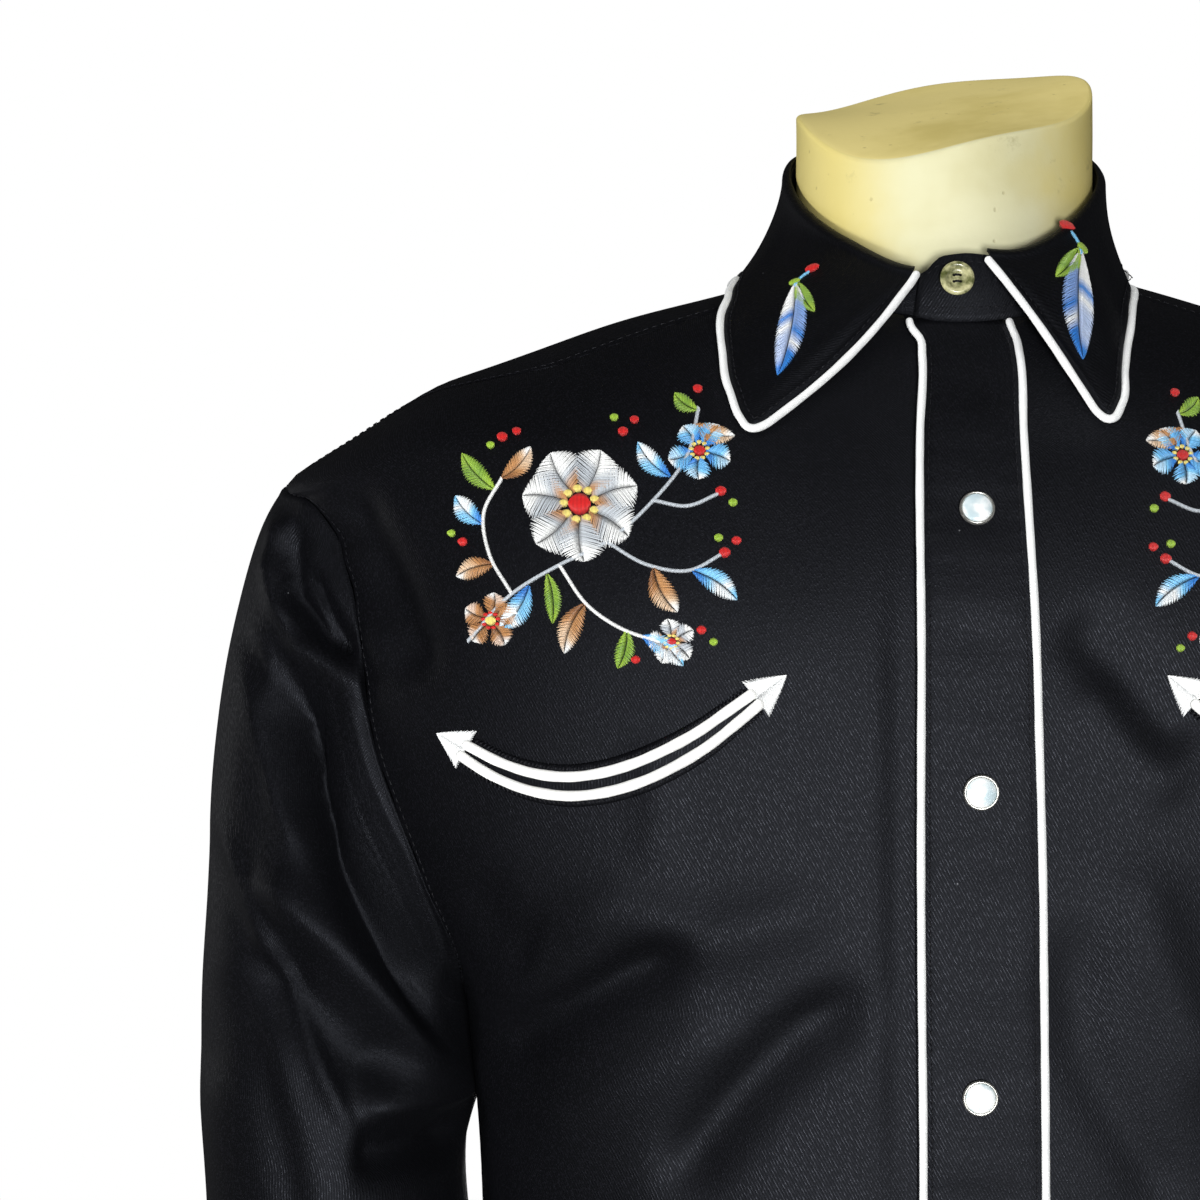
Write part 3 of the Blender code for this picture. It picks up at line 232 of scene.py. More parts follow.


# %% [markdown]
# ## Black cotton twill
#
# Twill is woven so that each yarn floats over two or three others and steps sideways by one in each row.
# The floats make fine diagonal lines. They are raised and catch the light, and that highlight is painted
# into the base colour, so each float is a short pale dash on near-black cloth. The pattern is worked out
# from the cloth's own grain coordinates, so it runs with the panel and not with the world. A little lint
# lies on it, as on all black cloth.

# %% Twill
TWILL_LEAN = radians(62)        # lines fall to the right, this far from level
TWILL_PITCH = 0.00100
FLOAT_LENGTH = 0.0021
TWILL_DARK = rgb(0.0005, 0.0005, 0.0006)
# The colour of the floats' highlight, painted into the base colour.
TWILL_PAINTED_SHEEN = rgb(0.0040, 0.0039, 0.0054)


def twill(name, strength, dark=TWILL_DARK, light=TWILL_PAINTED_SHEEN):
    """Cloth whose lines are sin(2 pi across / pitch), broken along each line by noise."""
    shader = Shader(name, Specular_IOR_Level=0.36, Specular_Tint=rgb(0.80, 0.85, 1.0))
    u, v = shader.grain()
    across = (u * sin(TWILL_LEAN) + v * cos(TWILL_LEAN)) / TWILL_PITCH
    along = (v * sin(TWILL_LEAN) - u * cos(TWILL_LEAN)) / FLOAT_LENGTH
    lines = (across * (2 * pi)).math("SINE") * 0.5 + 0.5
    dashes = shader.noise(shader.vector(across, along, 0.0), 1.0, 1.0)
    floats = (lines ** 1.5) * (0.30 + 0.70 * shader.blend(dashes, 0.40, 0.62))
    place = shader.place()
    cloud = shader.blend(shader.noise(place, 22.0, 3.0), 0.32, 0.70)
    specks = shader.blend(shader.noise(place, 1300.0, 0.0), 0.50, 0.72)
    # Painted highlight: floats and specks are painted paler, as the light they catch. cloud varies it at random,
    # and strength scales it.
    weave = floats * (0.55 + 0.45 * cloud) + 0.70 * specks
    lint = shader.node("ShaderNodeTexVoronoi", {}, {"Vector": place, "Scale": 42.0})
    fleck = 1 - shader.blend(lint, 0.006, 0.016)
    colour = shader.mix(weave * strength, dark, light)
    shader.feed("Base Color", shader.mix(fleck * 0.55, colour, rgb(0.30, 0.31, 0.33)))
    shader.feed("Roughness", 0.72 - 0.33 * floats)
    shader.bump(floats + 0.5 * specks, 0.00012, 0.6)
    return shader.material


TWILL = twill("black_twill", 1.0)
# Painted shade: the collar and the welt are copies of the same twill with less of the painted float highlight, so
# they read darker.
COLLAR_TWILL_PAINTED_SHADE = twill("collar_twill", 0.55)
WELT_TWILL_PAINTED_SHADE = twill("welt_twill_painted_shade", 0.45)
print("cloth materials:", TWILL.name, COLLAR_TWILL_PAINTED_SHADE.name, WELT_TWILL_PAINTED_SHADE.name)

# %% [markdown]
# ## White piping, cord and thread
#
# Piping is a cord inside a strip of white cloth cut on the bias, so its fine weave runs slantwise round it.
# Embroidery thread is glossy rayon: it is plied, so its surface twists. Each stitch carries its own colour
# in an attribute, as if the needle had been rethreaded.

# %% White and coloured threads
def wrapped(name, colour, shade, pitch, relief):
    """A white cover with slanted lines: sin(2 pi (u + v) / pitch) along and round the cord."""
    shader = Shader(name, Roughness=0.62, Specular_IOR_Level=0.35, Sheen_Weight=0.15)
    u, v = shader.grain()
    lines = ((u + v) * (2 * pi / pitch)).math("SINE") * 0.5 + 0.5
    soil = shader.blend(shader.noise(shader.place(), 160.0, 3.0), 0.30, 0.75)
    shader.feed("Base Color", shader.mix(0.25 * lines + 0.35 * soil, colour, shade))
    shader.bump(lines, relief, 0.7)
    return shader.material


def embroidery_thread(name):
    """Rayon thread: the colour comes from the stitch, darker and lighter in fine strands."""
    shader = Shader(name, Roughness=0.38, Specular_IOR_Level=0.6, Sheen_Weight=0.1)
    colour = shader.node("ShaderNodeAttribute", {"attribute_name": "thread"}, {}, "Color")
    strand = shader.noise(shader.place(), 1500.0, 1.0)
    shade = shader.mix(shader.blend(strand, 0.45, 0.75) * 0.12, colour, rgb(0.05, 0.05, 0.05))
    shader.feed("Base Color", shade)
    shader.bump(strand, 0.0001, 0.6)
    return shader.material


PIPING = wrapped("piping_cotton", rgb(0.90, 0.91, 0.90), rgb(0.70, 0.72, 0.73), 0.0009, 0.00008)
POCKET_CORD = wrapped("pocket_cord_cotton", rgb(0.92, 0.92, 0.89), rgb(0.74, 0.75, 0.74), 0.0007, 0.00006)
THREADS = embroidery_thread("rayon_thread")
print("thread materials:", PIPING.name, POCKET_CORD.name, THREADS.name)


# %% Black sewing thread
def black_thread():
    """Polyester sewing thread, a little glossier than the cloth it lies on."""
    shader = Shader("black_thread", Specular_IOR_Level=0.2)
    ply = shader.noise(shader.place(), 2200.0, 1.0)
    shader.feed("Base Color", shader.mix(shader.blend(ply, 0.45, 0.75), rgb(0.006, 0.006, 0.008),
                                         rgb(0.022, 0.023, 0.028)))
    shader.feed("Roughness", 0.55 - 0.15 * ply)
    shader.bump(ply, 0.00008, 0.5)
    return shader.material


BLACK_THREAD = black_thread()

# %% [markdown]
# ## Pearl, metal, horn and plaster
#
# A pearl snap cap is cast plastic with pale clouds in it. Its light comes from bands of slightly different
# white and a clear coat. The rim is thin nickel. The collar button is a greenish yellow horn look with
# cloudy veins. The form is old painted plaster: cream, stained yellow and brown in soft blotches, and
# rougher and darker where it was sawn off at the neck.

# %% Hard materials
def pearl():
    """Bands: noise on a stretched place, mixed between a bluish and a warm white, under a clear coat."""
    shader = Shader("pearl_cap", Coat_Weight=0.8, Coat_Roughness=0.08, Specular_IOR_Level=0.6)
    swirl = shader.noise(shader.place(), 150.0, 2.0, 0.55)
    bands = shader.blend(swirl, 0.36, 0.66)
    shader.feed("Base Color", shader.mix(bands, rgb(0.52, 0.64, 0.68), rgb(0.95, 0.96, 0.95)))
    shader.feed("Roughness", 0.18 + 0.18 * bands)
    return shader.material


def nickel():
    shader = Shader("nickel_rim", Metallic=0.9)
    wear = shader.noise(shader.place(), 700.0, 2.0)
    shader.feed("Base Color", shader.mix(wear, rgb(0.50, 0.50, 0.46), rgb(0.80, 0.79, 0.74)))
    shader.feed("Roughness", 0.24 + 0.20 * wear)
    return shader.material


def horn():
    shader = Shader("horn_button", Coat_Weight=0.5, Coat_Roughness=0.10, Specular_IOR_Level=0.6)
    veins = shader.noise(shader.place(), 260.0, 3.0, 0.6)
    shader.feed("Base Color", shader.mix(shader.blend(veins, 0.35, 0.68), rgb(0.09, 0.10, 0.03),
                                         rgb(0.54, 0.52, 0.28)))
    shader.feed("Roughness", 0.20 + 0.20 * veins)
    return shader.material


def plaster():
    """Cream paint with stains, painted yellower on the neck's two flanks as the lens sees them, as painted shade;
    upward faces at the cut are darker and yellower.
    """
    shader = Shader("old_plaster", Specular_IOR_Level=0.35)
    place = shader.place()
    stain = shader.blend(shader.noise(place, 14.0, 4.0, 0.6), 0.42, 0.72)
    dirt = shader.blend(shader.noise(place, 60.0, 5.0, 0.7), 0.60, 0.74)
    grit = shader.noise(place, 420.0, 3.0)
    pits = shader.node("ShaderNodeTexVoronoi", {}, {"Vector": place, "Scale": 120.0})
    pinholes = 1 - shader.blend(pits, 0.03, 0.10)
    cut = shader.node("ShaderNodeAttribute", {"attribute_name": "cut"}, {}, "Fac")
    # Painted shade: the neck's flanks, left and right of its middle as the lens sees them, are painted yellower.
    painted_flank_shade = shader.blend((shader.axis(place, 0) - 0.006).math("ABSOLUTE") + 0.012 * stain, 0.020, 0.050)
    front = shader.mix(stain, rgb(0.70, 0.68, 0.44), rgb(0.60, 0.56, 0.31))
    side = shader.mix(painted_flank_shade, front, rgb(0.72, 0.61, 0.22))
    sawn = shader.mix(stain, rgb(0.84, 0.71, 0.28), rgb(0.64, 0.53, 0.18))
    colour = shader.mix(cut, side, sawn)
    worn = shader.mix(dirt * 0.60, colour, rgb(0.34, 0.30, 0.13))
    shader.feed("Base Color", shader.mix(pinholes * 0.35, worn, rgb(0.34, 0.27, 0.12)))
    shader.feed("Roughness", 0.48 + 0.25 * stain)
    shader.bump(grit * 0.4 + stain * 0.8 - pinholes, 0.0003, 0.5)
    return shader.material


PEARL = pearl()
NICKEL = nickel()
HORN = horn()
PLASTER = plaster()
print("hard materials:", PEARL.name, NICKEL.name, HORN.name, PLASTER.name)

# %% [markdown]
# ## The floor
#
# A plain pale disc catches the shadow. Mirror-like rays don't see it, so the black cloth doesn't mirror it.

# %% Floor
def make_floor():
    """A pale disc under the form: one face whose corners are r (cos a, sin a, 0)."""
    angle = np.linspace(0, 2 * pi, 97)[:-1]
    ring = np.stack((FLOOR_RADIUS * np.cos(angle), FLOOR_RADIUS * np.sin(angle), 0 * angle), axis=-1)
    mesh = bpy.data.meshes.new("floor")
    mesh.from_pydata(ring.tolist(), [], [list(range(len(ring)))])
    shader = Shader("pale_floor", Roughness=0.7, Specular_IOR_Level=0.2)
    mottle = shader.noise(shader.place(), 3.0, 2.0)
    shader.feed("Base Color", shader.mix(mottle, rgb(0.86, 0.86, 0.86), rgb(0.90, 0.90, 0.90)))
    mesh.materials.append(shader.material)
    floor = bpy.data.objects.new("floor", mesh)
    floor.visible_glossy = False
    bpy.context.scene.collection.objects.link(floor)


make_floor()
print("floor radius:", FLOOR_RADIUS)

# %% [markdown]
# ## From a grid of points to a mesh
#
# Every sheet is a grid: rows run up the cloth and columns run to the right as seen from outside. The faces
# follow from the grid's numbering, so no loop over points is needed. Each sheet also gets a UV map named
# `grain`, in metres along and up the cloth, which the weave reads. Solidify gives it the cloth's thickness.

# %% Mesh makers
CLOTH = 0.0009


def grid_faces(rows, columns, closed):
    index = np.arange(rows * columns).reshape(rows, columns)
    right = np.roll(index, -1, axis=1) if closed else index[:, 1:]
    left = index if closed else index[:, :-1]
    return np.stack((left[:-1], right[:-1], right[1:], left[1:]), axis=-1).reshape(-1, 4)


def build_mesh(name, points, faces):
    """A mesh from an array of points and an array of faces that all have the same number of corners."""
    mesh = bpy.data.meshes.new(name)
    points = np.asarray(points, np.float32).reshape(-1, 3)
    faces = np.asarray(faces, np.int32)
    mesh.vertices.add(len(points))
    mesh.vertices.foreach_set("co", points.ravel())
    mesh.loops.add(faces.size)
    mesh.loops.foreach_set("vertex_index", faces.ravel())
    mesh.polygons.add(len(faces))
    mesh.polygons.foreach_set("loop_start", np.arange(0, faces.size, faces.shape[1], dtype=np.int32))
    mesh.update(calc_edges=True)
    mesh.validate()
    return mesh


def finish_piece(name, mesh, material, replaced=()):
    """Put a mesh in the scene as a piece that rides on the shirt's one body."""
    mesh.materials.append(material)
    mesh.shade_smooth()
    item = bpy.data.objects.new(name, mesh)
    bpy.context.scene.collection.objects.link(item)
    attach(item, "root")
    if replaced:
        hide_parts(*replaced)
    return item


def add_grain(mesh, grain):
    """Write a UV map from an array that holds one (u, v) per vertex."""
    corner = np.empty(len(mesh.loops), np.int32)
    mesh.loops.foreach_get("vertex_index", corner)
    layer = mesh.uv_layers.new(name="grain")
    layer.data.foreach_set("uv", np.asarray(grain, np.float32).reshape(-1, 2)[corner].ravel())


def edge_distances(points):
    """Distances from each point of a grid to its left, right, lower and upper edge, along rows and columns."""
    across = np.linalg.norm(np.diff(points, axis=1), axis=-1)
    upward = np.linalg.norm(np.diff(points, axis=0), axis=-1)
    left = np.pad(np.cumsum(across, axis=1), ((0, 0), (1, 0)))
    low = np.pad(np.cumsum(upward, axis=0), ((1, 0), (0, 0)))
    return left, left[:, -1:] - left, low, low[-1:] - low


def turned_grain(points, angle=0.0, flip=1.0):
    """Grain coordinates of a grid: distances along the rows and up the columns, turned by an angle."""
    left, _, low, _ = edge_distances(points)
    u, v = flip * left, low
    return np.stack((u * cos(angle) - v * sin(angle), u * sin(angle) + v * cos(angle)), axis=-1)


def sheet_of_cloth(name, points, material, replaced, grain=None, closed=False, wall=CLOTH):
    """One panel: a grid, its grain, its material and its thickness."""
    mesh = build_mesh(name, points, grid_faces(*points.shape[:2], closed))
    add_grain(mesh, turned_grain(points) if grain is None else grain)
    item = finish_piece(name, mesh, material, replaced)
    solid = item.modifiers.new("thickness", "SOLIDIFY")
    solid.thickness = wall
    solid.offset = -1.0
    return item


# %% [markdown]
# ## The master surface
#
# A pattern cutter thinks of a shirt as rings round the body. Each row of the table is one ring: how far up
# it lies at the front, side and back, how wide and deep it is, and how square. Between the rows the values
# run along smooth cubic curves. A point is then found from two numbers: its turn round the body, and its
# tape distance up the side seam and on along the shoulder to the neck.

# %% Rings of the shirt
Ring = namedtuple("Ring", "z_front z_side z_back half_width depth_front depth_back squareness "
                          "ease_side ease_depth")
RINGS = (
    (0.000, 0.0000, 0.0000, 0.0000, 0.1760, 0.1080, 0.1180, 2.30, 0.0240, 0.0200),
    (0.100, 0.1000, 0.1000, 0.1000, 0.1810, 0.1120, 0.1240, 2.40, 0.0170, 0.0140),
    (0.200, 0.2000, 0.2000, 0.2000, 0.1810, 0.1130, 0.1220, 2.40, 0.0180, 0.0160),
    (0.330, 0.3300, 0.3300, 0.3300, 0.1720, 0.1110, 0.1110, 2.50, 0.0300, 0.0220),
    (0.440, 0.4400, 0.4400, 0.4400, 0.1680, 0.1130, 0.1060, 2.60, 0.0200, 0.0160),
    (0.500, 0.5000, 0.5000, 0.5000, 0.1700, 0.1160, 0.1080, 2.75, 0.0110, 0.0110),
    (0.535, 0.5350, 0.5350, 0.5350, 0.1730, 0.1172, 0.1085, 2.90, 0.0110, 0.0110),
    (0.560, 0.5600, 0.5600, 0.5600, 0.1765, 0.1180, 0.1090, 3.00, 0.0110, 0.0100),
    (0.600, 0.6000, 0.6000, 0.6000, 0.1970, 0.1190, 0.1100, 3.00, 0.0120, 0.0085),
    (0.650, 0.6500, 0.6500, 0.6500, 0.2150, 0.1200, 0.1090, 3.00, 0.0110, 0.0070),
    (0.700, 0.6990, 0.7000, 0.7000, 0.2180, 0.1170, 0.1040, 2.90, 0.0090, 0.0055),
    (0.744, 0.7380, 0.7440, 0.7460, 0.2222, 0.1060, 0.0920, 2.50, 0.0070, 0.0055),
    (0.762, 0.7500, 0.7595, 0.7630, 0.2250, 0.1010, 0.0850, 2.30, 0.0060, 0.0055),
    (0.786, 0.7585, 0.7725, 0.7770, 0.2030, 0.0970, 0.0815, 2.20, 0.0045, 0.0050),
    (0.828, 0.7700, 0.7880, 0.7945, 0.1630, 0.0910, 0.0750, 2.10, 0.0032, 0.0046),
    (0.889, 0.7860, 0.8075, 0.8160, 0.1050, 0.0815, 0.0660, 2.00, 0.0028, 0.0044),
    (0.933, 0.7995, 0.8190, 0.8310, 0.0625, 0.0725, 0.0585, 2.00, 0.0026, 0.0042),
)
WAIST_TAPE, ARMPIT_TAPE, SHOULDER_TAPE, NECK_TAPE = 0.300, 0.560, 0.762, 0.933
HEM_SIDE, HEM_FRONT, HEM_BACK = 0.148, 0.078, 0.066
DROP = 0.0166                    # the shoulder seam's outer end hangs this far over the arm
DROP_ACROSS = (0.182, 0.226)     # it sets in between these distances from the middle
DROP_OUTWARD, DROP_DOWN = (0.698, 0.744), (0.730, 0.762)         # and between these tapes
NORMAL_STEP = 0.002


def smooth_columns(rows, where):
    """Cubic (Hermite) interpolation of a table's columns at the values `where` of its first column."""
    table = np.array(rows, float)
    knots = table[:, 0]
    slopes = np.gradient(table[:, 1:], knots, axis=0)
    where = np.clip(np.asarray(where, float), knots[0], knots[-1])
    low = np.clip(np.searchsorted(knots, where, side="right") - 1, 0, len(knots) - 2)
    step = knots[low + 1] - knots[low]
    f = ((where - knots[low]) / step)[..., None]
    h = step[..., None]
    a, b = table[low, 1:], table[low + 1, 1:]
    return ((2 * f**3 - 3 * f**2 + 1) * a + (f**3 - 2 * f**2 + f) * h * slopes[low]
            + (3 * f**2 - 2 * f**3) * b + (f**3 - f**2) * h * slopes[low + 1])


def ring_at(tape):
    return Ring(*np.moveaxis(smooth_columns(RINGS, tape), -1, 0))


def smooth_step(value, low, high):
    """0 below low, 1 above high, an S-curve between."""
    f = np.clip((np.asarray(value, float) - low) / (high - low), 0, 1)
    return f * f * (3 - 2 * f)


def unit(vectors):
    return vectors / np.maximum(np.linalg.norm(vectors, axis=-1, keepdims=True), 1e-9)


def body_base(turn, tape):
    """The unfolded shirt: x = W r sin(turn), y = -D r cos(turn), r = (|sin|^n + |cos|^n)^(-1/n),
    z = z_side + (z_front or z_back - z_side) cos(turn)^2. The shoulder's end is moved out and down by DROP."""
    turn, tape = np.broadcast_arrays(np.asarray(turn, float), np.asarray(tape, float))
    ring = ring_at(tape)
    sine, cosine = np.sin(turn), np.cos(turn)
    power = ring.squareness
    radius = (np.abs(sine) ** power + np.abs(cosine) ** power) ** (-1 / power)
    depth = np.where(cosine > 0, ring.depth_front, ring.depth_back)
    z_end = np.where(cosine > 0, ring.z_front, ring.z_back)
    x = ring.half_width * radius * sine
    drop = smooth_step(np.abs(x), *DROP_ACROSS) * DROP
    z = ring.z_side + (z_end - ring.z_side) * cosine**2 - drop * smooth_step(tape, *DROP_DOWN)
    return np.stack((x + np.sign(x) * drop * smooth_step(tape, *DROP_OUTWARD), -depth * radius * cosine, z),
                    axis=-1)


def body_normal(turn, tape):
    """Unit outward normal of body_base, by central differences."""
    turn, tape = np.broadcast_arrays(np.asarray(turn, float), np.asarray(tape, float))
    tape = np.clip(tape, NORMAL_STEP, NECK_TAPE - NORMAL_STEP)
    around = body_base(turn + NORMAL_STEP, tape) - body_base(turn - NORMAL_STEP, tape)
    upward = body_base(turn, tape + NORMAL_STEP) - body_base(turn, tape - NORMAL_STEP)
    return unit(np.cross(around, upward))


# %% [markdown]
# ## Folds and creases
#
# Cloth that hangs from the shoulders folds along lines of pull: from the armpit to the waist, and across
# the sleeve where the arm would bend. Each fold is a short line on the cloth with a height, negative for a
# trough, a spread, and how much wider its far flank is, since most folds lean. Folds that are placed one
# by one stay uneven, as real ones do, and the hidden sides get folds of the same kind.

# %% Fold tables
Fold = namedtuple("Fold", "face height spread lee path")


STRAIGHT_LEE = 2                 # a fold with a larger lee has a straight far flank
TENTHS = 10000                   # the tables are in tenths of a millimetre
FOLD_FADE = 0.22                 # share of a fold's length over which each of its ends fades out


def folds(rows):
    """Rows of face, height, spread, lee and the path's (x, z) points, turned into metres."""
    return tuple(Fold(face, height / TENTHS, spread / TENTHS, lee, tuple((x / TENTHS, z / TENTHS) for x, z in path))
                 for face, height, spread, lee, path in rows)


BODY_FOLDS = folds((
    (-1, -75, 85, 1.0, ((-2190, 7440), (-2110, 7250), (-1990, 7003), (-1905, 6818), (-1870, 6660))),
    (-1, 34, 50, 1.0, ((-2180, 7240), (-2120, 7060), (-2050, 6880), (-2010, 6720))),
    (-1, -72, 66, 1.6, ((-930, 5860), (-1179, 5732), (-1393, 5598), (-1579, 5465), (-1713, 5398))),
    (-1, 30, 120, 1.0, ((-778, 5620), (-1045, 5435), (-1312, 5265), (-1560, 5140))),
    (-1, -64, 82, 1.5, ((-320, 5720), (-592, 5558), (-778, 5371), (-939, 5158), (-1040, 4930))),
    (-1, 28, 110, 1.0, ((-400, 6000), (-900, 5860), (-1200, 5960), (-1480, 5860))),
    (-1, -30, 100, 1.0, ((-1740, 6060), (-1610, 5860), (-1446, 5800))),
    (-1, -12, 45, 1.0, ((-262, 7200), (-268, 6300), (-266, 5600), (-262, 4900))),
    (-1, 12, 70, 1.0, ((-1100, 6560), (-1060, 6300), (-1090, 6050))),
    (-1, -42, 90, 1.3, ((280, 6970), (450, 6786), (583, 6626), (740, 6470))),
    (-1, 22, 100, 1.0, ((330, 6760), (500, 6520), (700, 6310))),
    (-1, -32, 100, 1.0, ((310, 6000), (343, 5505), (476, 5264), (610, 5051), (760, 4880))),
    (-1, 30, 120, 1.0, ((500, 6200), (610, 5799), (743, 5505), (900, 5300))),
    (-1, -50, 80, 1.0, ((2180, 7430), (2080, 7200), (1960, 6980), (1880, 6760))),
    (-1, -46, 80, 1.3, ((940, 5820), (1230, 5600), (1590, 5320))),
    (-1, 34, 110, 1.0, ((980, 5980), (1340, 5760), (1650, 5580))),
    (-1, 75, 200, 1.0, ((-600, 4400), (-1000, 4240), (-1450, 3950))),
    (-1, -75, 220, 1.0, ((-300, 3300), (-800, 3220), (-1300, 3000))),
    (-1, 75, 220, 1.0, ((-1200, 2500), (-1000, 1900), (-900, 1300))),
    (-1, 36, 90, 1.0, ((-500, 4700), (-900, 4520), (-1400, 4400))),
    (-1, -33, 90, 1.0, ((-440, 3900), (-900, 3740), (-1350, 3500))),
    (-1, 75, 200, 1.0, ((650, 4200), (1050, 4040), (1500, 3700))),
    (-1, -75, 220, 1.0, ((400, 3450), (850, 3220), (1200, 2850))),
    (-1, 75, 220, 1.0, ((1250, 2400), (1180, 1800), (1000, 1200))),
    (-1, 33, 90, 1.0, ((500, 4850), (950, 4600), (1420, 4300))),
    (1, -57, 160, 1.0, ((-1850, 6450), (-1500, 5900), (-1100, 5200))),
    (1, 39, 100, 1.0, ((-1720, 6220), (-1300, 5520), (-950, 5000))),
    (1, -57, 160, 1.0, ((1850, 6350), (1560, 5750), (1150, 5000))),
    (1, 39, 100, 1.0, ((1740, 6100), (1380, 5400), (1000, 4800))),
    (1, 67, 200, 1.0, ((-1200, 4300), (-500, 4020), (200, 3700))),
    (1, -67, 200, 1.0, ((1300, 4000), (650, 3520), (-100, 3200))),
    (1, 36, 90, 1.0, ((1400, 4520), (700, 4200), (100, 4080))),
    (1, 67, 220, 1.0, ((-700, 2600), (-640, 1850), (-500, 1100))),
    (1, 67, 220, 1.0, ((700, 2700), (800, 1950), (850, 1200))),
))

SLEEVE_FOLDS = folds((
    (-1, -95, 42, 1.0, ((-2350, 7330), (-2387, 7170), (-2362, 7016), (-2279, 6906), (-2168, 6823), (-2090, 6760))),
    (-1, -48, 28, 1.0, ((-2325, 7130), (-2271, 7044), (-2204, 6920), (-2120, 6780))),
    (-1, 62, 42, 1.0, ((-2400, 7330), (-2432, 7113), (-2400, 6980), (-2310, 6870))),
    (-1, 46, 50, 1.0, ((-2431, 6830), (-2293, 6825), (-2140, 6726), (-2070, 6600))),
    (-1, -200, 60, 3.7, ((-2420, 6900), (-2370, 6600), (-2290, 6320), (-2180, 6080), (-2050, 5850),
        (-1900, 5600), (-1780, 5300))),
    (-1, 46, 55, 1.0, ((-2470, 6780), (-2440, 6550), (-2360, 6280), (-2260, 6060))),
    (-1, -40, 32, 1.0, ((-2580, 6920), (-2510, 6803), (-2480, 6684), (-2425, 6504), (-2360, 6296), (-2250, 6033))),
    (-1, 90, 82, 1.1, ((-2540, 6040), (-2370, 5965), (-2195, 5800), (-2030, 5610), (-1885, 5420), (-1794, 5260))),
    (-1, -85, 110, 1.0, ((-2480, 5800), (-2330, 5600), (-2130, 5420), (-1930, 5290))),
    (-1, 26, 30, 1.0, ((-2650, 6300), (-2528, 5978), (-2404, 5701), (-2265, 5424), (-2149, 5174), (-2060, 4980))),
    (-1, -20, 50, 1.0, ((-2690, 6200), (-2580, 5900), (-2460, 5620), (-2320, 5350), (-2200, 5080))),
    (-1, 70, 60, 1.6, ((-2130, 5220), (-2000, 5216), (-1860, 5222), (-1720, 5230))),
    (-1, -90, 80, 1.0, ((-2140, 5060), (-1990, 5045), (-1850, 5050), (-1720, 5080))),
    (-1, 24, 90, 1.0, ((-2640, 5400), (-2625, 5100), (-2590, 4800), (-2500, 4500))),
    (-1, -30, 70, 1.0, ((-2620, 5700), (-2500, 5480), (-2390, 5100), (-2300, 4700))),
    (-1, -90, 140, 1.0, ((-2600, 4400), (-2300, 4150), (-1950, 3750))),
    (-1, 60, 80, 1.0, ((-2620, 4700), (-2340, 4420), (-1960, 4100))),
    (-1, 81, 140, 1.0, ((-2500, 3950), (-2240, 3600), (-1950, 3400))),
    (-1, -51, 80, 1.0, ((-2580, 3720), (-2300, 3400), (-1980, 3180))),
    (-1, -81, 140, 1.0, ((-2600, 3150), (-2350, 2900), (-2050, 2500))),
    (-1, 51, 80, 1.0, ((-2600, 2860), (-2350, 2600), (-2100, 2360))),
    (1, -84, 140, 1.0, ((-2400, 7000), (-2250, 6600), (-2000, 6100))),
    (1, 51, 80, 1.0, ((-2500, 6800), (-2360, 6400), (-2080, 5920))),
    (1, 84, 150, 1.0, ((-2600, 6200), (-2350, 5700), (-2000, 5300))),
    (1, -60, 80, 1.0, ((-2620, 5900), (-2380, 5460), (-1960, 5100))),
    (1, -102, 150, 1.0, ((-2600, 4700), (-2300, 4350), (-1900, 4000))),
    (1, 54, 80, 1.0, ((-2600, 5050), (-2320, 4700), (-1930, 4460))),
    (1, -75, 140, 1.0, ((-2550, 3500), (-2300, 3200), (-2000, 2850))),
))


def fold_height(points, table, facing):
    """Sum of the folds: height * exp(-(distance to the path / spread)^2), faded out towards both ends. On the
    wearer's left of a falling path the spread is lee times as large, so that one flank can be steep; where
    lee is over STRAIGHT_LEE that flank is a straight slope, (1 - distance / spread)^1.15.
    facing is -1 on the front half and +1 on the back half, and passes smoothly through 0."""
    total = np.zeros(points.shape[:-1])
    flat = points[..., (0, 2)]
    for fold in table:
        path = np.array(fold.path)
        runs = np.diff(path, axis=0)
        lengths = np.linalg.norm(runs, axis=1)
        starts = np.concatenate(((0.0,), np.cumsum(lengths)))
        nearest = np.full(total.shape, 1e9)
        along = np.zeros(total.shape)
        leeward = np.zeros(total.shape, bool)
        for start, run, length, before in zip(path, runs, lengths, starts):
            share = np.clip((flat - start) @ run / length**2, 0, 1)
            offset = flat - start - share[..., None] * run
            distance = np.linalg.norm(offset, axis=-1)
            closer = distance < nearest
            leeward = np.where(closer, run[0] * offset[..., 1] - run[1] * offset[..., 0] > 0, leeward)
            nearest = np.where(closer, distance, nearest)
            along = np.where(closer, (before + share * length) / starts[-1], along)
        fade = smooth_step(along, 0.0, FOLD_FADE) * (1 - smooth_step(along, 1 - FOLD_FADE, 1.0))
        side = np.clip(fold.face * facing * 3, 0, 1)
        spread = fold.spread * np.where(leeward, fold.lee, 1.0)
        shape = np.exp(-(nearest / spread) ** 2)
        if fold.lee > STRAIGHT_LEE:
            shape = np.where(leeward, np.clip(1 - nearest / spread, 0, 1) ** 1.15, shape)
        total += fold.height * shape * fade * side
    return total


WAVES = ((41.0, 23.0, 17.0, 0.3, 0.00034), (-29.0, 37.0, 31.0, 1.9, 0.00030), (67.0, -19.0, 53.0, 4.1, 0.00018),
         (13.0, 71.0, -61.0, 2.2, 0.00016), (-97.0, 31.0, 83.0, 5.0, 0.00009), (89.0, 57.0, 101.0, 0.9, 0.00008))


def waves(points):
    """Soft unevenness of worn cloth: a sum of sines of place, each with its own direction and height."""
    return sum(size * np.sin(points @ np.array((a, b, c)) + phase) for a, b, c, phase, size in WAVES)


def body_point(turn, tape, out=0.0):
    """A point of the folded shirt, moved `out` along the outward normal."""
    base = body_base(turn, tape)
    facing = -np.cos(np.asarray(turn, float) + 0 * base[..., 0])
    lift = fold_height(base, BODY_FOLDS, facing) + waves(base) + out
    return base + body_normal(turn, tape) * lift[..., None]


LOCATE_STEPS = 40


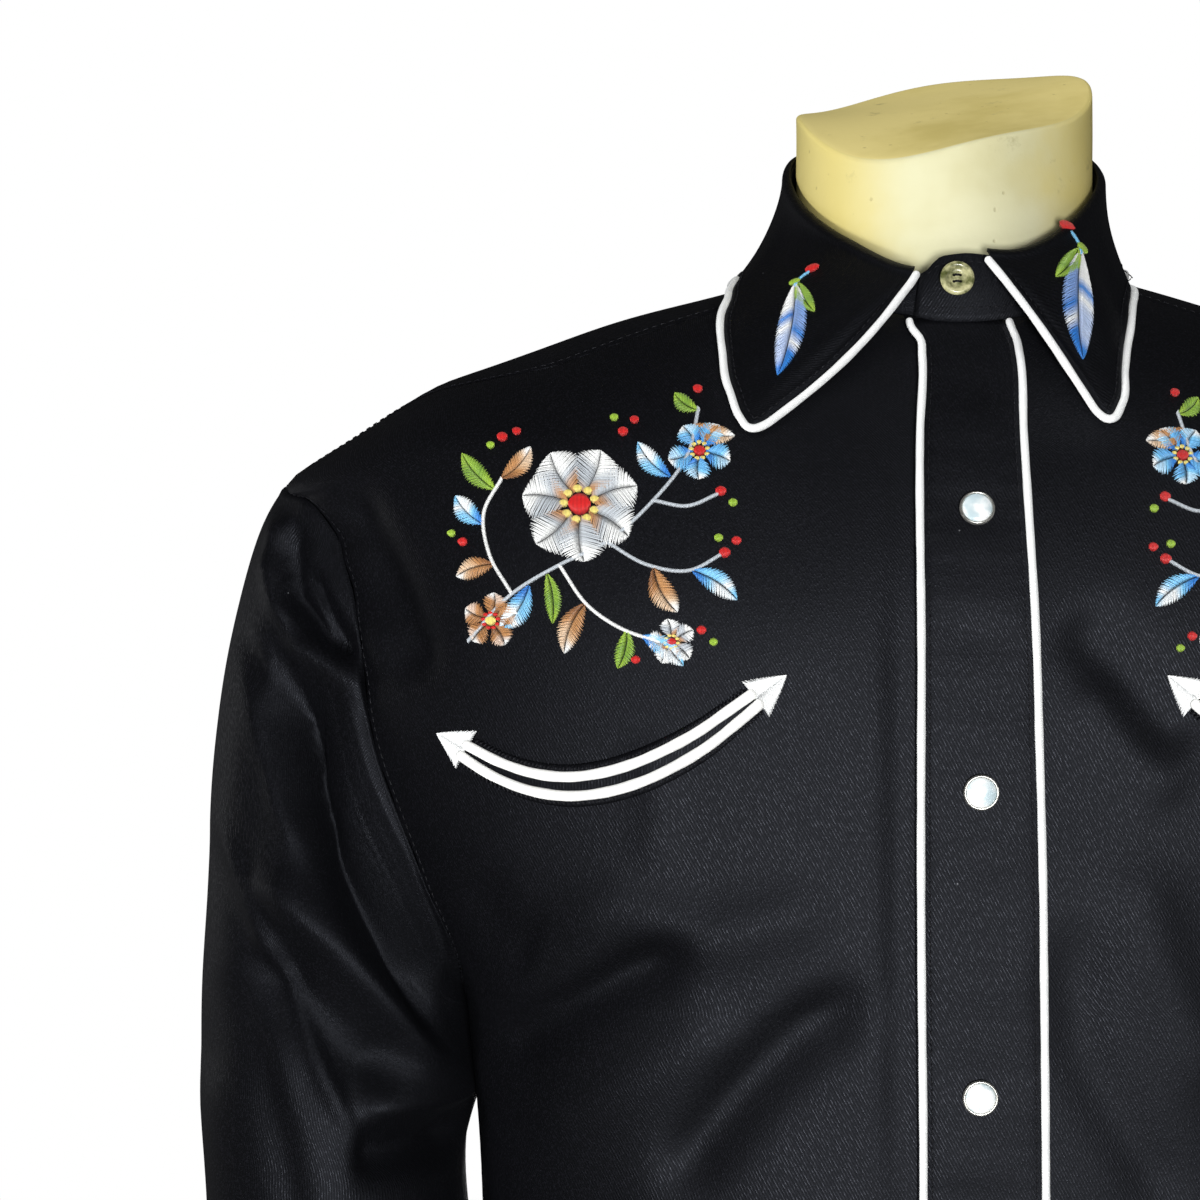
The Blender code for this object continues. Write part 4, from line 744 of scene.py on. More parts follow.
def locate(x, z, face=-1):
    """(turn, tape) of the point of the front (face -1) or back (+1) that is seen at x, z. The tape is found
    by steps: it is corrected again and again by most of the height that is still missing."""
    x, z = np.broadcast_arrays(np.asarray(x, float), np.asarray(z, float))
    face = np.broadcast_to(face, x.shape)
    tape = z.copy()
    for _ in range(LOCATE_STEPS):
        ring = ring_at(tape)
        share = np.clip(np.abs(x) / ring.half_width, 0, 0.9995)
        turn = np.arctan2(share, (1 - share**ring.squareness) ** (1 / ring.squareness))
        z_end = np.where(face < 0, ring.z_front, ring.z_back)
        height = ring.z_side + (z_end - ring.z_side) * np.cos(turn) ** 2
        tape = np.clip(tape + 0.8 * (z - height), 0, NECK_TAPE)
    turn = np.where(face < 0, turn, pi - turn)
    return np.where(x < 0, -turn, turn), tape


def on_front(x, z, out=0.0):
    turn, tape = locate(x, z)
    return body_point(turn, tape, out)


print("folds:", len(BODY_FOLDS), "on the body,", len(SLEEVE_FOLDS), "on a sleeve")

# %% [markdown]
# ## The dress form
#
# The shirt needs something to hang on. The form is a plain torso without arms, and its neck is sawn off at
# a slant. It lies a few millimetres inside the cloth. Rings follow the shirt's own rings, then the neck, and
# close over the cut through smaller and smaller rings, so that the rim is softly rounded.

# %% Dress form
FORM_COLUMNS, TORSO_ROWS, NECK_ROWS = 128, 104, 18
RIM_RADIUS = 0.0016


def form_point(turn, tape):
    """The form lies inside the unfolded shirt by the ring's ease."""
    ring = ring_at(np.asarray(tape, float) + 0 * np.asarray(turn, float))
    ease = ring.ease_side * np.sin(turn) ** 2 + ring.ease_depth * np.cos(turn) ** 2
    return body_base(turn, tape) - body_normal(turn, tape) * ease[..., None]


VIEW_PIXELS = 1200
RIM_NEAR = ((803, 120), (813, 136.5), (828.6, 151.8), (854, 158.5), (890, 159.5), (925.5, 152.9), (956, 144),
            (997, 136.5), (1038, 129), (1073.5, 116), (1091, 101), (1099, 90.6))     # pixel column and row
RIM_FAR = ((828, 108.5), (879.6, 95.7), (930.6, 85.5), (981.6, 78.9), (1032.7, 75.3), (1073.5, 76.8), (1096, 83))
RIM_SIDES = ((-0.0526, 0.0, 0.8793), (-0.0500, 0.0190, 0.8838), (0.0545, 0.0, 0.8935))


def neck_plan(turn, share, inset=0.0):
    """x and y of a ring of the neck: an oval that is deeper in front of its middle than behind it."""
    narrow = smooth_step(share, -0.2, 0.5)
    cosine = np.cos(turn)
    width = 0.0585 - 0.0037 * narrow - inset
    depth = np.where(cosine > 0, 0.0650 - 0.0050 * narrow, 0.0550 - 0.0020 * narrow) - inset
    return 0.0022 * narrow + width * np.sin(turn), -depth * cosine


def cut_terms(x, y):
    """1 and the real and imaginary parts of w, w^2, w^3 and w^4, for w = u + iv measured across the neck."""
    w = (x - 0.0022) / 0.055 + 1j * y / 0.056
    return [1 + 0 * x] + [part for power in (w, w**2, w**3, w**4) for part in (power.real, power.imag)]


def fitted_cut():
    """The heights of the terms for which the cut passes nearest to the rim's places, by least squares. A
    pixel's place is where its column crosses the near or far half of the neck's plan, as the camera sees it."""
    turn = np.linspace(-pi, pi, 7201)
    x, y = neck_plan(turn, 1.0)
    away = y - CAMERA_PLACE[1]
    focal = CAMERA_LENS / camera_data.sensor_width * VIEW_PIXELS
    columns = VIEW_PIXELS / 2 + focal * (x - CAMERA_PLACE[0]) / away
    places = list(RIM_SIDES)
    for rim, near in ((RIM_NEAR, True), (RIM_FAR, False)):
        for column, row in rim:
            k = np.argmin(np.where((np.cos(turn) > 0) == near, np.abs(columns - column), np.inf))
            places.append((x[k], y[k], CAMERA_PLACE[2] + (VIEW_PIXELS / 2 - row) * away[k] / focal))
    x, y, z = np.array(places).T
    return np.round(np.linalg.lstsq(np.stack(cut_terms(x, y), axis=-1), z, rcond=None)[0], 5)


CUT_HEIGHTS = fitted_cut()


def neck_cut_height(x, y):
    """A slanted saw cut, higher behind and towards the wearer's left, and not quite flat."""
    return sum(height * term for height, term in zip(CUT_HEIGHTS, cut_terms(x, y)))


def neck_ring(turn, share, inset=0.0, sink=0.0):
    """A ring of the neck: share runs from its root (0) to the cut (1); inset shrinks it, sink lowers it."""
    x, y = neck_plan(turn, share, inset)
    root = form_point(turn, np.array(NECK_TAPE))[..., 2] + 0.002
    return np.stack((x, y, root + (neck_cut_height(x, y) - root) * share - sink), axis=-1)


def make_form():
    """Rings from the floor up: the base, the torso, the neck, the rounded rim and the cut. The attribute
    `cut` is 1 where the saw went through."""
    turn = np.arange(FORM_COLUMNS) * 2 * pi / FORM_COLUMNS
    base = form_point(turn, np.array(0.0))
    floor_rings = [base * np.array((k, k, 0.0)) for k in (0.12, 0.5, 0.85, 0.985)]
    torso = [form_point(turn, tape) for tape in np.linspace(0.004, NECK_TAPE, TORSO_ROWS)]
    torso[0][:, 2] = np.maximum(torso[0][:, 2], 0.003)
    neck = [neck_ring(turn, share) for share in np.linspace(0.04, 0.975, NECK_ROWS)]
    curl = np.linspace(0, pi / 2, 5)[1:]
    rim = [neck_ring(turn, 1.0, RIM_RADIUS * (1 - cos(a)), RIM_RADIUS * (1 - sin(a))) for a in curl]
    cut = [neck_ring(turn, 1.0, inset) for inset in (0.004, 0.010, 0.018, 0.027, 0.037, 0.0460)]
    rings = np.array(floor_rings + torso + neck + rim + cut)
    rings += unit(rings * np.array((1, 1, 0))) * (waves(rings * 1.7) * 0.8)[..., None]
    rings[:5, :, 2] = np.array((0, 0, 0, 0, 0.003))[:, None]
    centres = np.array((rings[0].mean(axis=0), rings[-1].mean(axis=0)))
    points = np.concatenate((rings.reshape(-1, 3), centres))
    first = np.arange(FORM_COLUMNS)
    last = first + (len(rings) - 1) * FORM_COLUMNS
    faces = grid_faces(len(rings), FORM_COLUMNS, True).tolist()
    faces += np.stack((np.roll(first, -1), first, np.full(FORM_COLUMNS, len(points) - 2)), -1).tolist()
    faces += np.stack((last, np.roll(last, -1), np.full(FORM_COLUMNS, len(points) - 1)), -1).tolist()
    mesh = bpy.data.meshes.new("dress_form_skin")
    mesh.from_pydata(points.tolist(), [], faces)
    above = np.zeros(len(points))
    above[(len(rings) - len(cut) - 1) * FORM_COLUMNS:-2] = 1.0
    above[-1] = 1.0
    mesh.attributes.new("cut", "FLOAT", "POINT").data.foreach_set("value", above.astype(np.float32))
    finish_piece("dress_form_skin", mesh, PLASTER, ("dress_form",))


make_form()
print("form rings:", TORSO_ROWS, "on the torso,", NECK_ROWS, "on the neck; cut heights:", CUT_HEIGHTS.tolist())

# %% [markdown]
# ## Fronts, back and yoke
#
# The two fronts, the back and the yoke are patches of the master surface, cut apart along the side seams,
# the armholes and the yoke seams. Near a seam the cloth rolls down into it, and the stitching draws it
# into small ripples. The wearer's right front passes under the placket.

# %% Seam lines
ARMHOLE_FRONT, ARMHOLE_BACK = 0.062, 0.066
YOKE_SHARE = 0.7                 # the back yoke seam crosses the armhole this far up
YOKE_FORWARD = radians(30)
SEAM = 0.0001
UNDERLAP, UNDERLAP_ACROSS = 0.0019, (-0.036, -0.0215)
SEAM_ROLL = 0.0013
RIPPLE_HEIGHT, RIPPLE_LENGTH, RIPPLE_FADE = 0.00022, 0.0075, 0.007
HEM_THICKNESS, HEM_WIDTH = 0.0005, (0.0055, 0.0068)
FREE_EDGE, SEWN_EDGE = 0, 1
PLACKET_EDGES = (
    (0.060, -0.0185, 0.0225),
    (0.300, -0.0185, 0.0230),
    (0.517, -0.0180, 0.0228),
    (0.600, -0.0190, 0.0216),
    (0.667, -0.0190, 0.0200),
    (0.757, -0.0170, 0.0182),
    (0.784, -0.0146, 0.0190),
    (0.790, -0.0148, 0.0184),
    (0.794, -0.0174, 0.0172),
    (0.800, -0.0184, 0.0158),
)


def placket_edge(z, column):
    return smooth_columns(PLACKET_EDGES, z)[..., column]


def seam_turn(tape, distance):
    """The angle that spans a small distance round the ring at this tape."""
    ring = ring_at(tape)
    return distance / (0.5 * (ring.half_width + ring.depth_front))


def armhole_tape(share):
    """Height along the armhole's edge: share 0 is the armpit and 1 the shoulder point."""
    return ARMPIT_TAPE + (SHOULDER_TAPE - ARMPIT_TAPE) * (1 - np.cos(pi * share)) / 2


def armhole_turn(share, back):
    """Turn of the armhole's front or back edge: it reaches sin(pi share)^0.9 of its depth forward."""
    tape = armhole_tape(share)
    ring = ring_at(tape)
    reach = (ARMHOLE_BACK if back else ARMHOLE_FRONT) * np.sin(pi * np.clip(share, 0, 1) ** 0.72) ** 0.9
    part = np.clip(reach / (ring.depth_back if back else ring.depth_front), 0, 1)
    turn = np.arctan2((1 - part**ring.squareness) ** (1 / ring.squareness), part)
    return pi - turn if back else turn


def armhole_row(share, edge):
    """Tape along an armhole row: evenly spaced at the panel's middle (edge 0), bunched at its edge (1)."""
    even = ARMPIT_TAPE + (SHOULDER_TAPE - ARMPIT_TAPE) * share
    return even + (armhole_tape(share) - even) * edge**2


def hem_tape(turn):
    tail = np.where(np.cos(turn) > 0, HEM_FRONT, HEM_BACK)
    return HEM_SIDE + (tail - HEM_SIDE) * (np.cos(turn) ** 2) ** 0.8


def yoke_turn(tape):
    return pi / 2 - YOKE_FORWARD * smooth_step(tape, SHOULDER_TAPE - 0.004, SHOULDER_TAPE + 0.075)


def edged(count, close=0.004):
    """Shares from 0 to 1, packed closer together near both ends."""
    inner = np.linspace(close, 1 - close, count)
    return np.concatenate(((0.0, close * 0.2, close * 0.5), inner, (1 - close * 0.5, 1 - close * 0.2, 1.0)))


def inner_turn(tape, left):
    """Turn of a front's inner edge: outside the free piping on the left, under the placket on the right."""
    ring = ring_at(tape)
    x = placket_edge(ring.z_front, FREE_EDGE) - 0.0016 if left else placket_edge(ring.z_front, SEWN_EDGE) - 0.006
    return np.arcsin(np.clip(x / ring.half_width, -1, 1))


# %% Panels of the body
FRONT_COLUMNS, BACK_COLUMNS = 84, 128
LOWER_ROWS, ARMHOLE_ROWS, SHOULDER_ROWS = 112, 60, 38


def lower_rows(start, end, share):
    """Turns and tapes from the curved hem to the armpit, between two turns."""
    up = np.linspace(0, 1, LOWER_ROWS)[:, None]
    turn = start + (end - start) * share
    low = hem_tape(turn)
    return turn + 0 * up, low + (ARMPIT_TAPE - low) * up


def front_grid(left):
    """(turn, tape) of a front, from its inner edge outward to the side seam, armhole and yoke seam."""
    sign = 1 if left else -1
    share = edged(FRONT_COLUMNS)[None, :]
    side = sign * (pi / 2 - seam_turn(WAIST_TAPE, SEAM / 2))
    up = np.linspace(0, 1, LOWER_ROWS)[:, None]
    inner = inner_turn(HEM_FRONT + (ARMPIT_TAPE - HEM_FRONT) * up, left)
    blocks = [lower_rows(inner, side, share)]
    step = np.linspace(0, 1, ARMHOLE_ROWS)[1:, None]
    tape = armhole_row(step, share)
    inner = inner_turn(tape[:, :1], left)
    edge = armhole_turn(step, back=False)
    edge = edge - seam_turn(SHOULDER_TAPE, SEAM) * smooth_step(step, 0.94, 1.0)
    blocks.append((inner + (sign * edge - inner) * share, tape))
    tape = np.linspace(SHOULDER_TAPE, NECK_TAPE, SHOULDER_ROWS)[1:, None]
    inner = inner_turn(tape, left)
    edge = sign * (yoke_turn(tape) - seam_turn(tape, SEAM))
    blocks.append((inner + (edge - inner) * share, tape + 0 * share))
    turn, tape = (np.concatenate(part) for part in zip(*blocks))
    return (turn, tape) if left else (turn[:, ::-1], tape[:, ::-1])


def back_grid():
    """(turn, tape) of the back, from the wearer's left side seam round to the right one."""
    share = edged(BACK_COLUMNS)[None, :]
    side = pi / 2 + seam_turn(WAIST_TAPE, SEAM / 2)
    blocks = [lower_rows(side, 2 * pi - side, share)]
    step = np.linspace(0, YOKE_SHARE, int(ARMHOLE_ROWS * YOKE_SHARE))[1:, None]
    edge = armhole_turn(step, back=True)
    blocks.append((edge + (2 * pi - 2 * edge) * share, armhole_row(step, np.abs(2 * share - 1))))
    return tuple(np.concatenate(part) for part in zip(*blocks))


def yoke_grid():
    """(turn, tape) of the yoke, over both shoulders to its two front seams."""
    share = edged(BACK_COLUMNS)[None, :]
    step = np.linspace(YOKE_SHARE, 1, 20)[:, None]
    edge = armhole_turn(step, back=True) + seam_turn(SHOULDER_TAPE, SEAM) * smooth_step(step, 0.94, 1.0)
    tape = armhole_row(step, np.abs(2 * share - 1)) + SEAM
    blocks = [(edge + (2 * pi - 2 * edge) * share, tape)]
    tape = np.linspace(SHOULDER_TAPE, NECK_TAPE, SHOULDER_ROWS)[1:, None]
    start = yoke_turn(tape) + seam_turn(tape, SEAM)
    blocks.append((start + (2 * pi - 2 * start) * share, tape + 0 * share))
    return tuple(np.concatenate(part) for part in zip(*blocks))


def seam_relief(points, roll=(1, 1, 1, 1), depth=0.0004):
    """Offset near a sheet's edges: it rolls down by exp(-(d / SEAM_ROLL)^2) and ripples by
    sin(2 pi s / RIPPLE_LENGTH) exp(-d / RIPPLE_FADE), for distance d from the edge and s along it. roll
    weighs the left, right, lower and upper edge."""
    left, right, low, high = edge_distances(points)
    total = np.zeros(left.shape)
    for weight, distance, along in zip(roll, (left, right, low, high), (low, low, left, left)):
        phase = 1.7 * np.sin(along * 61.0) + 0.9 * np.sin(along * 23.0)
        ripple = RIPPLE_HEIGHT * np.sin(along * 2 * pi / RIPPLE_LENGTH + phase) * np.exp(-distance / RIPPLE_FADE)
        total += weight * (ripple - depth * np.exp(-(distance / SEAM_ROLL) ** 2))
    return total


def hem_relief(points):
    """The hem is folded double: 0.5 mm thicker for 6 mm above the lower edge."""
    low = edge_distances(points)[2]
    return HEM_THICKNESS * (1 - smooth_step(low, *HEM_WIDTH))


def body_panel(name, grid, replaced, roll, hem, sink=0.0):
    """A panel over a grid of (turn, tape). Its grain runs up the tape, and sideways from the column whose
    lowest point is nearest to the middle."""
    turn, tape = grid
    base = body_base(turn, tape)
    relief = seam_relief(base, roll) + sink
    if hem:
        relief = relief + hem_relief(base)
    points = body_point(turn, tape, relief)
    left = edge_distances(base)[0]
    middle = left - left[:, np.argmin(np.abs(base[0, :, 0]))][:, None]
    grain = np.stack((middle, tape), axis=-1)
    return sheet_of_cloth(name, points, TWILL, (replaced,), grain)


def underlap(grid):
    """The wearer's right front sinks under the placket near its inner edge."""
    return -UNDERLAP * smooth_step(body_base(*grid)[..., 0], *UNDERLAP_ACROSS)


right_grid = front_grid(False)
body_panel("front_left_cloth", front_grid(True), "front_left", (0, 1, 0, 0), True)
body_panel("front_right_cloth", right_grid, "front_right", (1, 0, 0, 0), True, underlap(right_grid))
body_panel("back_cloth", back_grid(), "back", (1, 1, 0, 1), True)
body_panel("yoke_cloth", yoke_grid(), "yoke", (1, 1, 1, 0), False)
print("body panels made")

# %% [markdown]
# ## The placket and its pipings
#
# The placket is a strip folded on the left front. A white piping is caught in each of its edges, and a row
# of stitches runs just inside each piping. A cord is made as a tube: a circle carried along a path on the
# frame that the path's tangent and the cloth's normal give.

# %% Placket and cords
LAY = 0.00035
PIPING_RADIUS = 0.0014
CORD_SIDES = 12
PLACKET_TOP = 0.7975


def tube(path, normals, radius, sides=CORD_SIDES, flatten=1.0):
    """Points of a tube: centre + r (cos(a) side + f sin(a) up), for angles a round the path."""
    tangent = unit(np.gradient(path, axis=0))
    side = unit(np.cross(tangent, normals))
    up = np.cross(side, tangent)
    angle = np.arange(sides) * 2 * pi / sides
    radius = np.broadcast_to(radius, len(path))[:, None, None]
    ring = np.cos(angle)[None, :, None] * side[:, None] + flatten * np.sin(angle)[None, :, None] * up[:, None]
    return path[:, None] + radius * ring


def capped_tube(path, normals, radius, sides=CORD_SIDES, flatten=1.0):
    """A tube whose ends close in three smaller rings; returns points, quads and grain."""
    radius = np.broadcast_to(radius, len(path)).copy()
    tangent = unit(np.gradient(path, axis=0))
    shares = np.array((0.02, 0.55, 0.88))
    back = np.sqrt(1 - shares**2)
    head = path[:1] - tangent[:1] * radius[0] * back[:, None] * 0.8
    tail = path[-1:] + tangent[-1:] * radius[-1] * back[::-1, None] * 0.8
    whole = np.concatenate((head, path, tail))
    radii = np.concatenate((shares * radius[0], radius, shares[::-1] * radius[-1]))
    lift = np.concatenate((np.repeat(normals[:1], 3, 0), normals, np.repeat(normals[-1:], 3, 0)))
    points = tube(whole, lift, radii, sides, flatten)
    along = np.concatenate(((0.0,), np.cumsum(np.linalg.norm(np.diff(whole, axis=0), axis=1))))
    around = np.arange(sides) * 2 * pi / sides * float(radius.mean())
    grain = np.stack(np.broadcast_arrays(along[:, None], around[None, :]), axis=-1)
    return points, grid_faces(len(whole), sides, True)[:, ::-1], grain


def resample(path, spacing):
    """Even points along a smooth curve through the path's own points."""
    path = np.asarray(path, float)
    lengths = np.linalg.norm(np.diff(path, axis=0), axis=1)
    table = np.column_stack((np.concatenate(((0.0,), np.cumsum(lengths))), path))
    return smooth_columns(table, np.linspace(0, table[-1, 0], int(table[-1, 0] / spacing) + 1))


def cord_piece(name, path, normals, radius, material, replaced, flatten=1.0):
    """A cord sewn along a path, a few percent thicker and thinner in turn."""
    length = np.arange(len(path)) / 9.0
    wobble = 1 + 0.03 * np.sin(length * 2.1) + 0.02 * np.sin(length * 5.3 + 1.0)
    points, faces, grain = capped_tube(path, normals, radius * wobble, flatten=flatten)
    mesh = build_mesh(name, points, faces)
    add_grain(mesh, grain)
    return finish_piece(name, mesh, material, replaced)


def normals_at(x, z):
    return body_normal(*locate(x, z))


def make_placket():
    """The strip between the two pipings, slightly puffed and puckered, and a cord along each of its edges."""
    z = np.linspace(body_base(0.0, hem_tape(0.0))[2], PLACKET_TOP, 300)
    share = edged(14, 0.02)
    start = placket_edge(z, FREE_EDGE)[:, None] + PIPING_RADIUS * 0.7
    end = placket_edge(z, SEWN_EDGE)[:, None] - PIPING_RADIUS * 0.7
    x = start * (1 - share) + end * share
    height = z[:, None] + 0 * x
    base = np.stack((x, 0 * x, height), axis=-1)
    pucker = (0.0005 * np.sin(height * 2 * pi / 0.047 + 1.1)
              + 0.00022 * np.sin(height * 2 * pi / 0.021 + 9 * x * pi))
    puff = 0.0004 * np.sin(pi * share)[None, :] ** 0.5 + pucker * np.sin(pi * share)
    points = on_front(x, height, LAY + CLOTH + puff + seam_relief(base, (1, 1, 0, 0), 0.0005))
    sheet_of_cloth("placket_cloth", points, TWILL, ("placket",),
                   np.stack((x + 0.3, height), axis=-1))
    route_z = np.arange(z[0], PLACKET_TOP, 0.0015)
    for column, name in ((FREE_EDGE, "placket_piping_right"), (SEWN_EDGE, "placket_piping_left")):
        x = placket_edge(route_z, column)
        path = on_front(x, route_z, LAY + PIPING_RADIUS)
        cord_piece(name + "_cord", path, normals_at(x, route_z), PIPING_RADIUS, PIPING, (name,))


make_placket()
print("placket and pipings made")

# %% [markdown]
# ## The collar
#
# A shirt collar has a stand, which is a band round the neck, and a leaf that folds down over it. The band's
# ends lap at the front under one button. The leaf rolls over the top of the band and falls to its two
# points; the white piping runs along its whole edge. In the grid a line runs from the fold to the edge, and
# the table says where each line leaves the fold and where it ends on the chest.

# %% Collar stand
STAND_WALL = 0.0014
STAND_END = radians(-360 - 14.2)
FOLD_DIP = 0.0052
FOLD_ROWS = ((0, 0.8212), (18, 0.8204), (45, 0.8331), (70, 0.8477), (90, 0.8585), (118, 0.8690), (150, 0.8716),
             (180, 0.8725))
LAP_OVER, LAP_UNDER = 0.0014, 0.0012


def fold_line_height(turn):
    """Height of the collar's fold: the rows of FOLD_ROWS are (degrees away from the front, height). It dips
    by FOLD_DIP on the wearer's right, where the band's under end is."""
    away = np.degrees(np.arccos(np.clip(np.cos(turn), -1, 1)))
    rise = smooth_columns(FOLD_ROWS, away)[..., 0] + 0.001 * np.sin(turn)
    return rise - FOLD_DIP * smooth_step(turn, radians(-112), radians(-62))


def stand_point(turn, up, out=0.0):
    """Outer face of the band: a ruled surface from the neck seam (up 0) to the fold (1); its over end rides
    outside its under end and has a rounded corner."""
    turn, up = np.broadcast_arrays(np.asarray(turn, float), np.asarray(up, float))
    sine, cosine = np.sin(turn), np.cos(turn)
    lap = (LAP_OVER * smooth_step(-turn, radians(296), radians(336))
           - LAP_UNDER * smooth_step(turn, radians(-56), radians(-20)))
    seam = body_base(turn, NECK_TAPE - 0.0005)
    base = seam + body_normal(turn, NECK_TAPE - 0.003) * 0.0005
    base[..., 2] += 0.0022 * smooth_step(turn, radians(-66), radians(-44))
    flat = np.stack((sine, -cosine, 0 * sine), axis=-1)
    low = base + flat * (0.0016 - 0.0010 * sine**2 + lap)[..., None]
    depth = np.where(cosine > 0, 0.0708, 0.0572)
    high = np.stack((0.0574 * sine + 0.0018, -depth * cosine, fold_line_height(turn)), axis=-1)
    high = high + flat * lap[..., None]
    end = smooth_step(-turn, -STAND_END - radians(8), -STAND_END)
    rise = (up * (1 - 0.30 * end**2))[..., None]
    bulge = 0.0008 * np.sin(pi * np.clip(up, 0, 1)) * cosine**2
    return low * (1 - rise) + high * rise + flat * (bulge + out)[..., None]


def make_stand():
    """The band, with a skirt below the neck seam that is longer at the under end."""
    turn = np.linspace(STAND_END, radians(9), 220)
    up = np.concatenate(((-0.13,), edged(14, 0.03)))
    up = up[:, None] + 0 * turn
    up[0] -= 0.17 * smooth_step(turn, radians(-85), radians(-55))
    points = stand_point(turn[None, :], up)
    sheet_of_cloth("collar_stand_cloth", points, COLLAR_TWILL_PAINTED_SHADE, ("collar_stand",),
                   turned_grain(points, flip=-1.0), wall=STAND_WALL)


make_stand()

# %% [markdown]
# ## The collar's leaf
#
# Each row of the table is one line of the leaf: the angle at which it leaves the fold, and the x and z of its
# free end as seen from in front, on the shirt's front (-1) or back (1). The sheet follows the lines from the
# fold to the edge, so the edge may run to two sharp points while the fold stays even.

# %% Collar leaf
LEAF_WALL = 0.0013
LEAF_OUT, LEAF_OUT_STEEP = 0.0034, 0.0048
ROLL_SHARE = 0.12                # this share of each line rolls over the fold
ROLL_REACH, ROLL_RISE = 0.0042, 0.0034
LEAF_BULGE, FRONT_BOW = 0.0022, 0.0045
LEAF_EDGE = (
    (-18.0, -0.0690, 0.7600, -1),
    (-19.0, -0.0738, 0.7582, -1),
    (-20.5, -0.0767, 0.7620, -1),
    (-27.0, -0.0797, 0.7715, -1),
    (-42.0, -0.0811, 0.7845, -1),
    (-60.0, -0.0806, 0.7970, -1),
    (-76.0, -0.0772, 0.8070, -1),
    (-90.0, -0.0735, 0.8158, -1),
    (-108.0, -0.0661, 0.8172, 1),
    (-130.0, -0.0568, 0.8166, 1),
    (-155.0, -0.0276, 0.8167, 1),
    (-180.0, 0.0000, 0.8160, 1),
    (-205.0, 0.0265, 0.8163, 1),
    (-230.0, 0.0571, 0.8181, 1),
    (-252.0, 0.0649, 0.8185, 1),
    (-270.0, 0.0625, 0.8160, -1),
    (-284.0, 0.0628, 0.8080, -1),
    (-300.0, 0.0590, 0.7990, -1),
    (-318.0, 0.0560, 0.7885, -1),
    (-334.0, 0.0535, 0.7780, -1),
    (-347.0, 0.0512, 0.7664, -1),
    (-350.5, 0.0478, 0.7614, -1),
    (-352.5, 0.0440, 0.7640, -1),
)
LAST_LINE = len(LEAF_EDGE) - 1


def leaf_line(line):
    """Fold turn, edge turn and edge tape of a line of the leaf. line counts the rows of LEAF_EDGE."""
    table = np.array(LEAF_EDGE, float)
    turn, tape = locate(table[:, 1], table[:, 2], table[:, 3])
    numbered = np.column_stack((np.arange(len(table)), np.radians(table[:, 0]), np.unwrap(turn), tape))
    return np.moveaxis(smooth_columns(numbered, line), -1, 0)


def leaf_point(line, down, out=0.0):
    """Outer face of the leaf: a quarter roll over the band for down 0 to ROLL_SHARE, then a crowned fall to the
    outer edge at down 1."""
    line, down = np.broadcast_arrays(np.asarray(line, float), np.asarray(down, float))
    fold_turn, edge_turn, edge_tape = leaf_line(line)
    steep = (smooth_step(-fold_turn, radians(35), radians(70))
             * (1 - smooth_step(-fold_turn, radians(300), radians(330))))
    edge = body_point(edge_turn, edge_tape, LEAF_OUT + (LEAF_OUT_STEEP - LEAF_OUT) * steep)
    flat = np.stack((np.sin(fold_turn), -np.cos(fold_turn), 0 * fold_turn), axis=-1)
    upward = np.array((0.0, 0.0, 1.0))
    crest = stand_point(fold_turn, 1.0)
    roll = (np.clip(down / ROLL_SHARE, 0, 1) * pi / 2)[..., None]
    reach = (ROLL_REACH - 0.0010 * steep)[..., None]
    rolled = crest + flat * (reach * np.sin(roll) - 0.0008) + upward * (ROLL_RISE * np.cos(roll) - 0.0010)
    fall = np.clip((down - ROLL_SHARE) / (1 - ROLL_SHARE), 0, 1)[..., None]
    low = crest + flat * (reach - 0.0008) - upward * 0.0010
    ripple = 0.00030 * np.sin(line * 2.6 + 4 * fall[..., 0]) + 0.00022 * np.sin(line * 5.9 + 2.0)
    bulge = LEAF_BULGE * (1 - steep)[..., None] * np.sin(pi * fall) ** 0.8
    bulge = bulge + (ripple * np.sin(pi * fall[..., 0]))[..., None]
    outward = flat * 0.86 + upward * 0.51
    swing = fall ** (1 + 0.85 * steep[..., None])
    share = np.concatenate((swing, swing, fall), axis=-1)
    front_bow = FRONT_BOW * np.sin(pi * fall) * (1 - smooth_step(line, 0.0, 4.0))[..., None]
    fallen = (low * (1 - share) + edge * share + front_bow * np.array((0.7, 0.0, -0.7))
              + outward * (bulge * 0.87 + np.asarray(out)[..., None]))
    return np.where((down <= ROLL_SHARE)[..., None], rolled + flat * np.asarray(out)[..., None], fallen)


BORDER_FRONT, BORDER_LOWER = 40, 330


def leaf_border(offset, lift=0.0):
    """The leaf's free edge: right front edge, outer edge, left front edge, moved off the leaf by an offset,
    or on to it by a negative one. Returns points and the leaf's outward direction there."""
    front = np.linspace(0.11, 0.985, BORDER_FRONT)
    line = np.concatenate((np.zeros(BORDER_FRONT), np.linspace(0, LAST_LINE, BORDER_LOWER)[1:-1],
                           np.full(BORDER_FRONT, LAST_LINE)))
    down = np.concatenate((front, np.ones(BORDER_LOWER - 2), front[::-1]))
    points = leaf_point(line, down, np.array(lift))
    along = unit(np.gradient(points, axis=0))
    core = leaf_point(np.clip(line, 1.5, LAST_LINE - 1.5), np.clip(down - 0.15, ROLL_SHARE, 1), np.array(lift))
    inner = core - points
    away = unit(np.sum(inner * along, axis=1, keepdims=True) * along - inner)
    normal = unit(np.cross(along, away))
    return points + away * offset, -normal if normal[4, 1] > 0 else normal


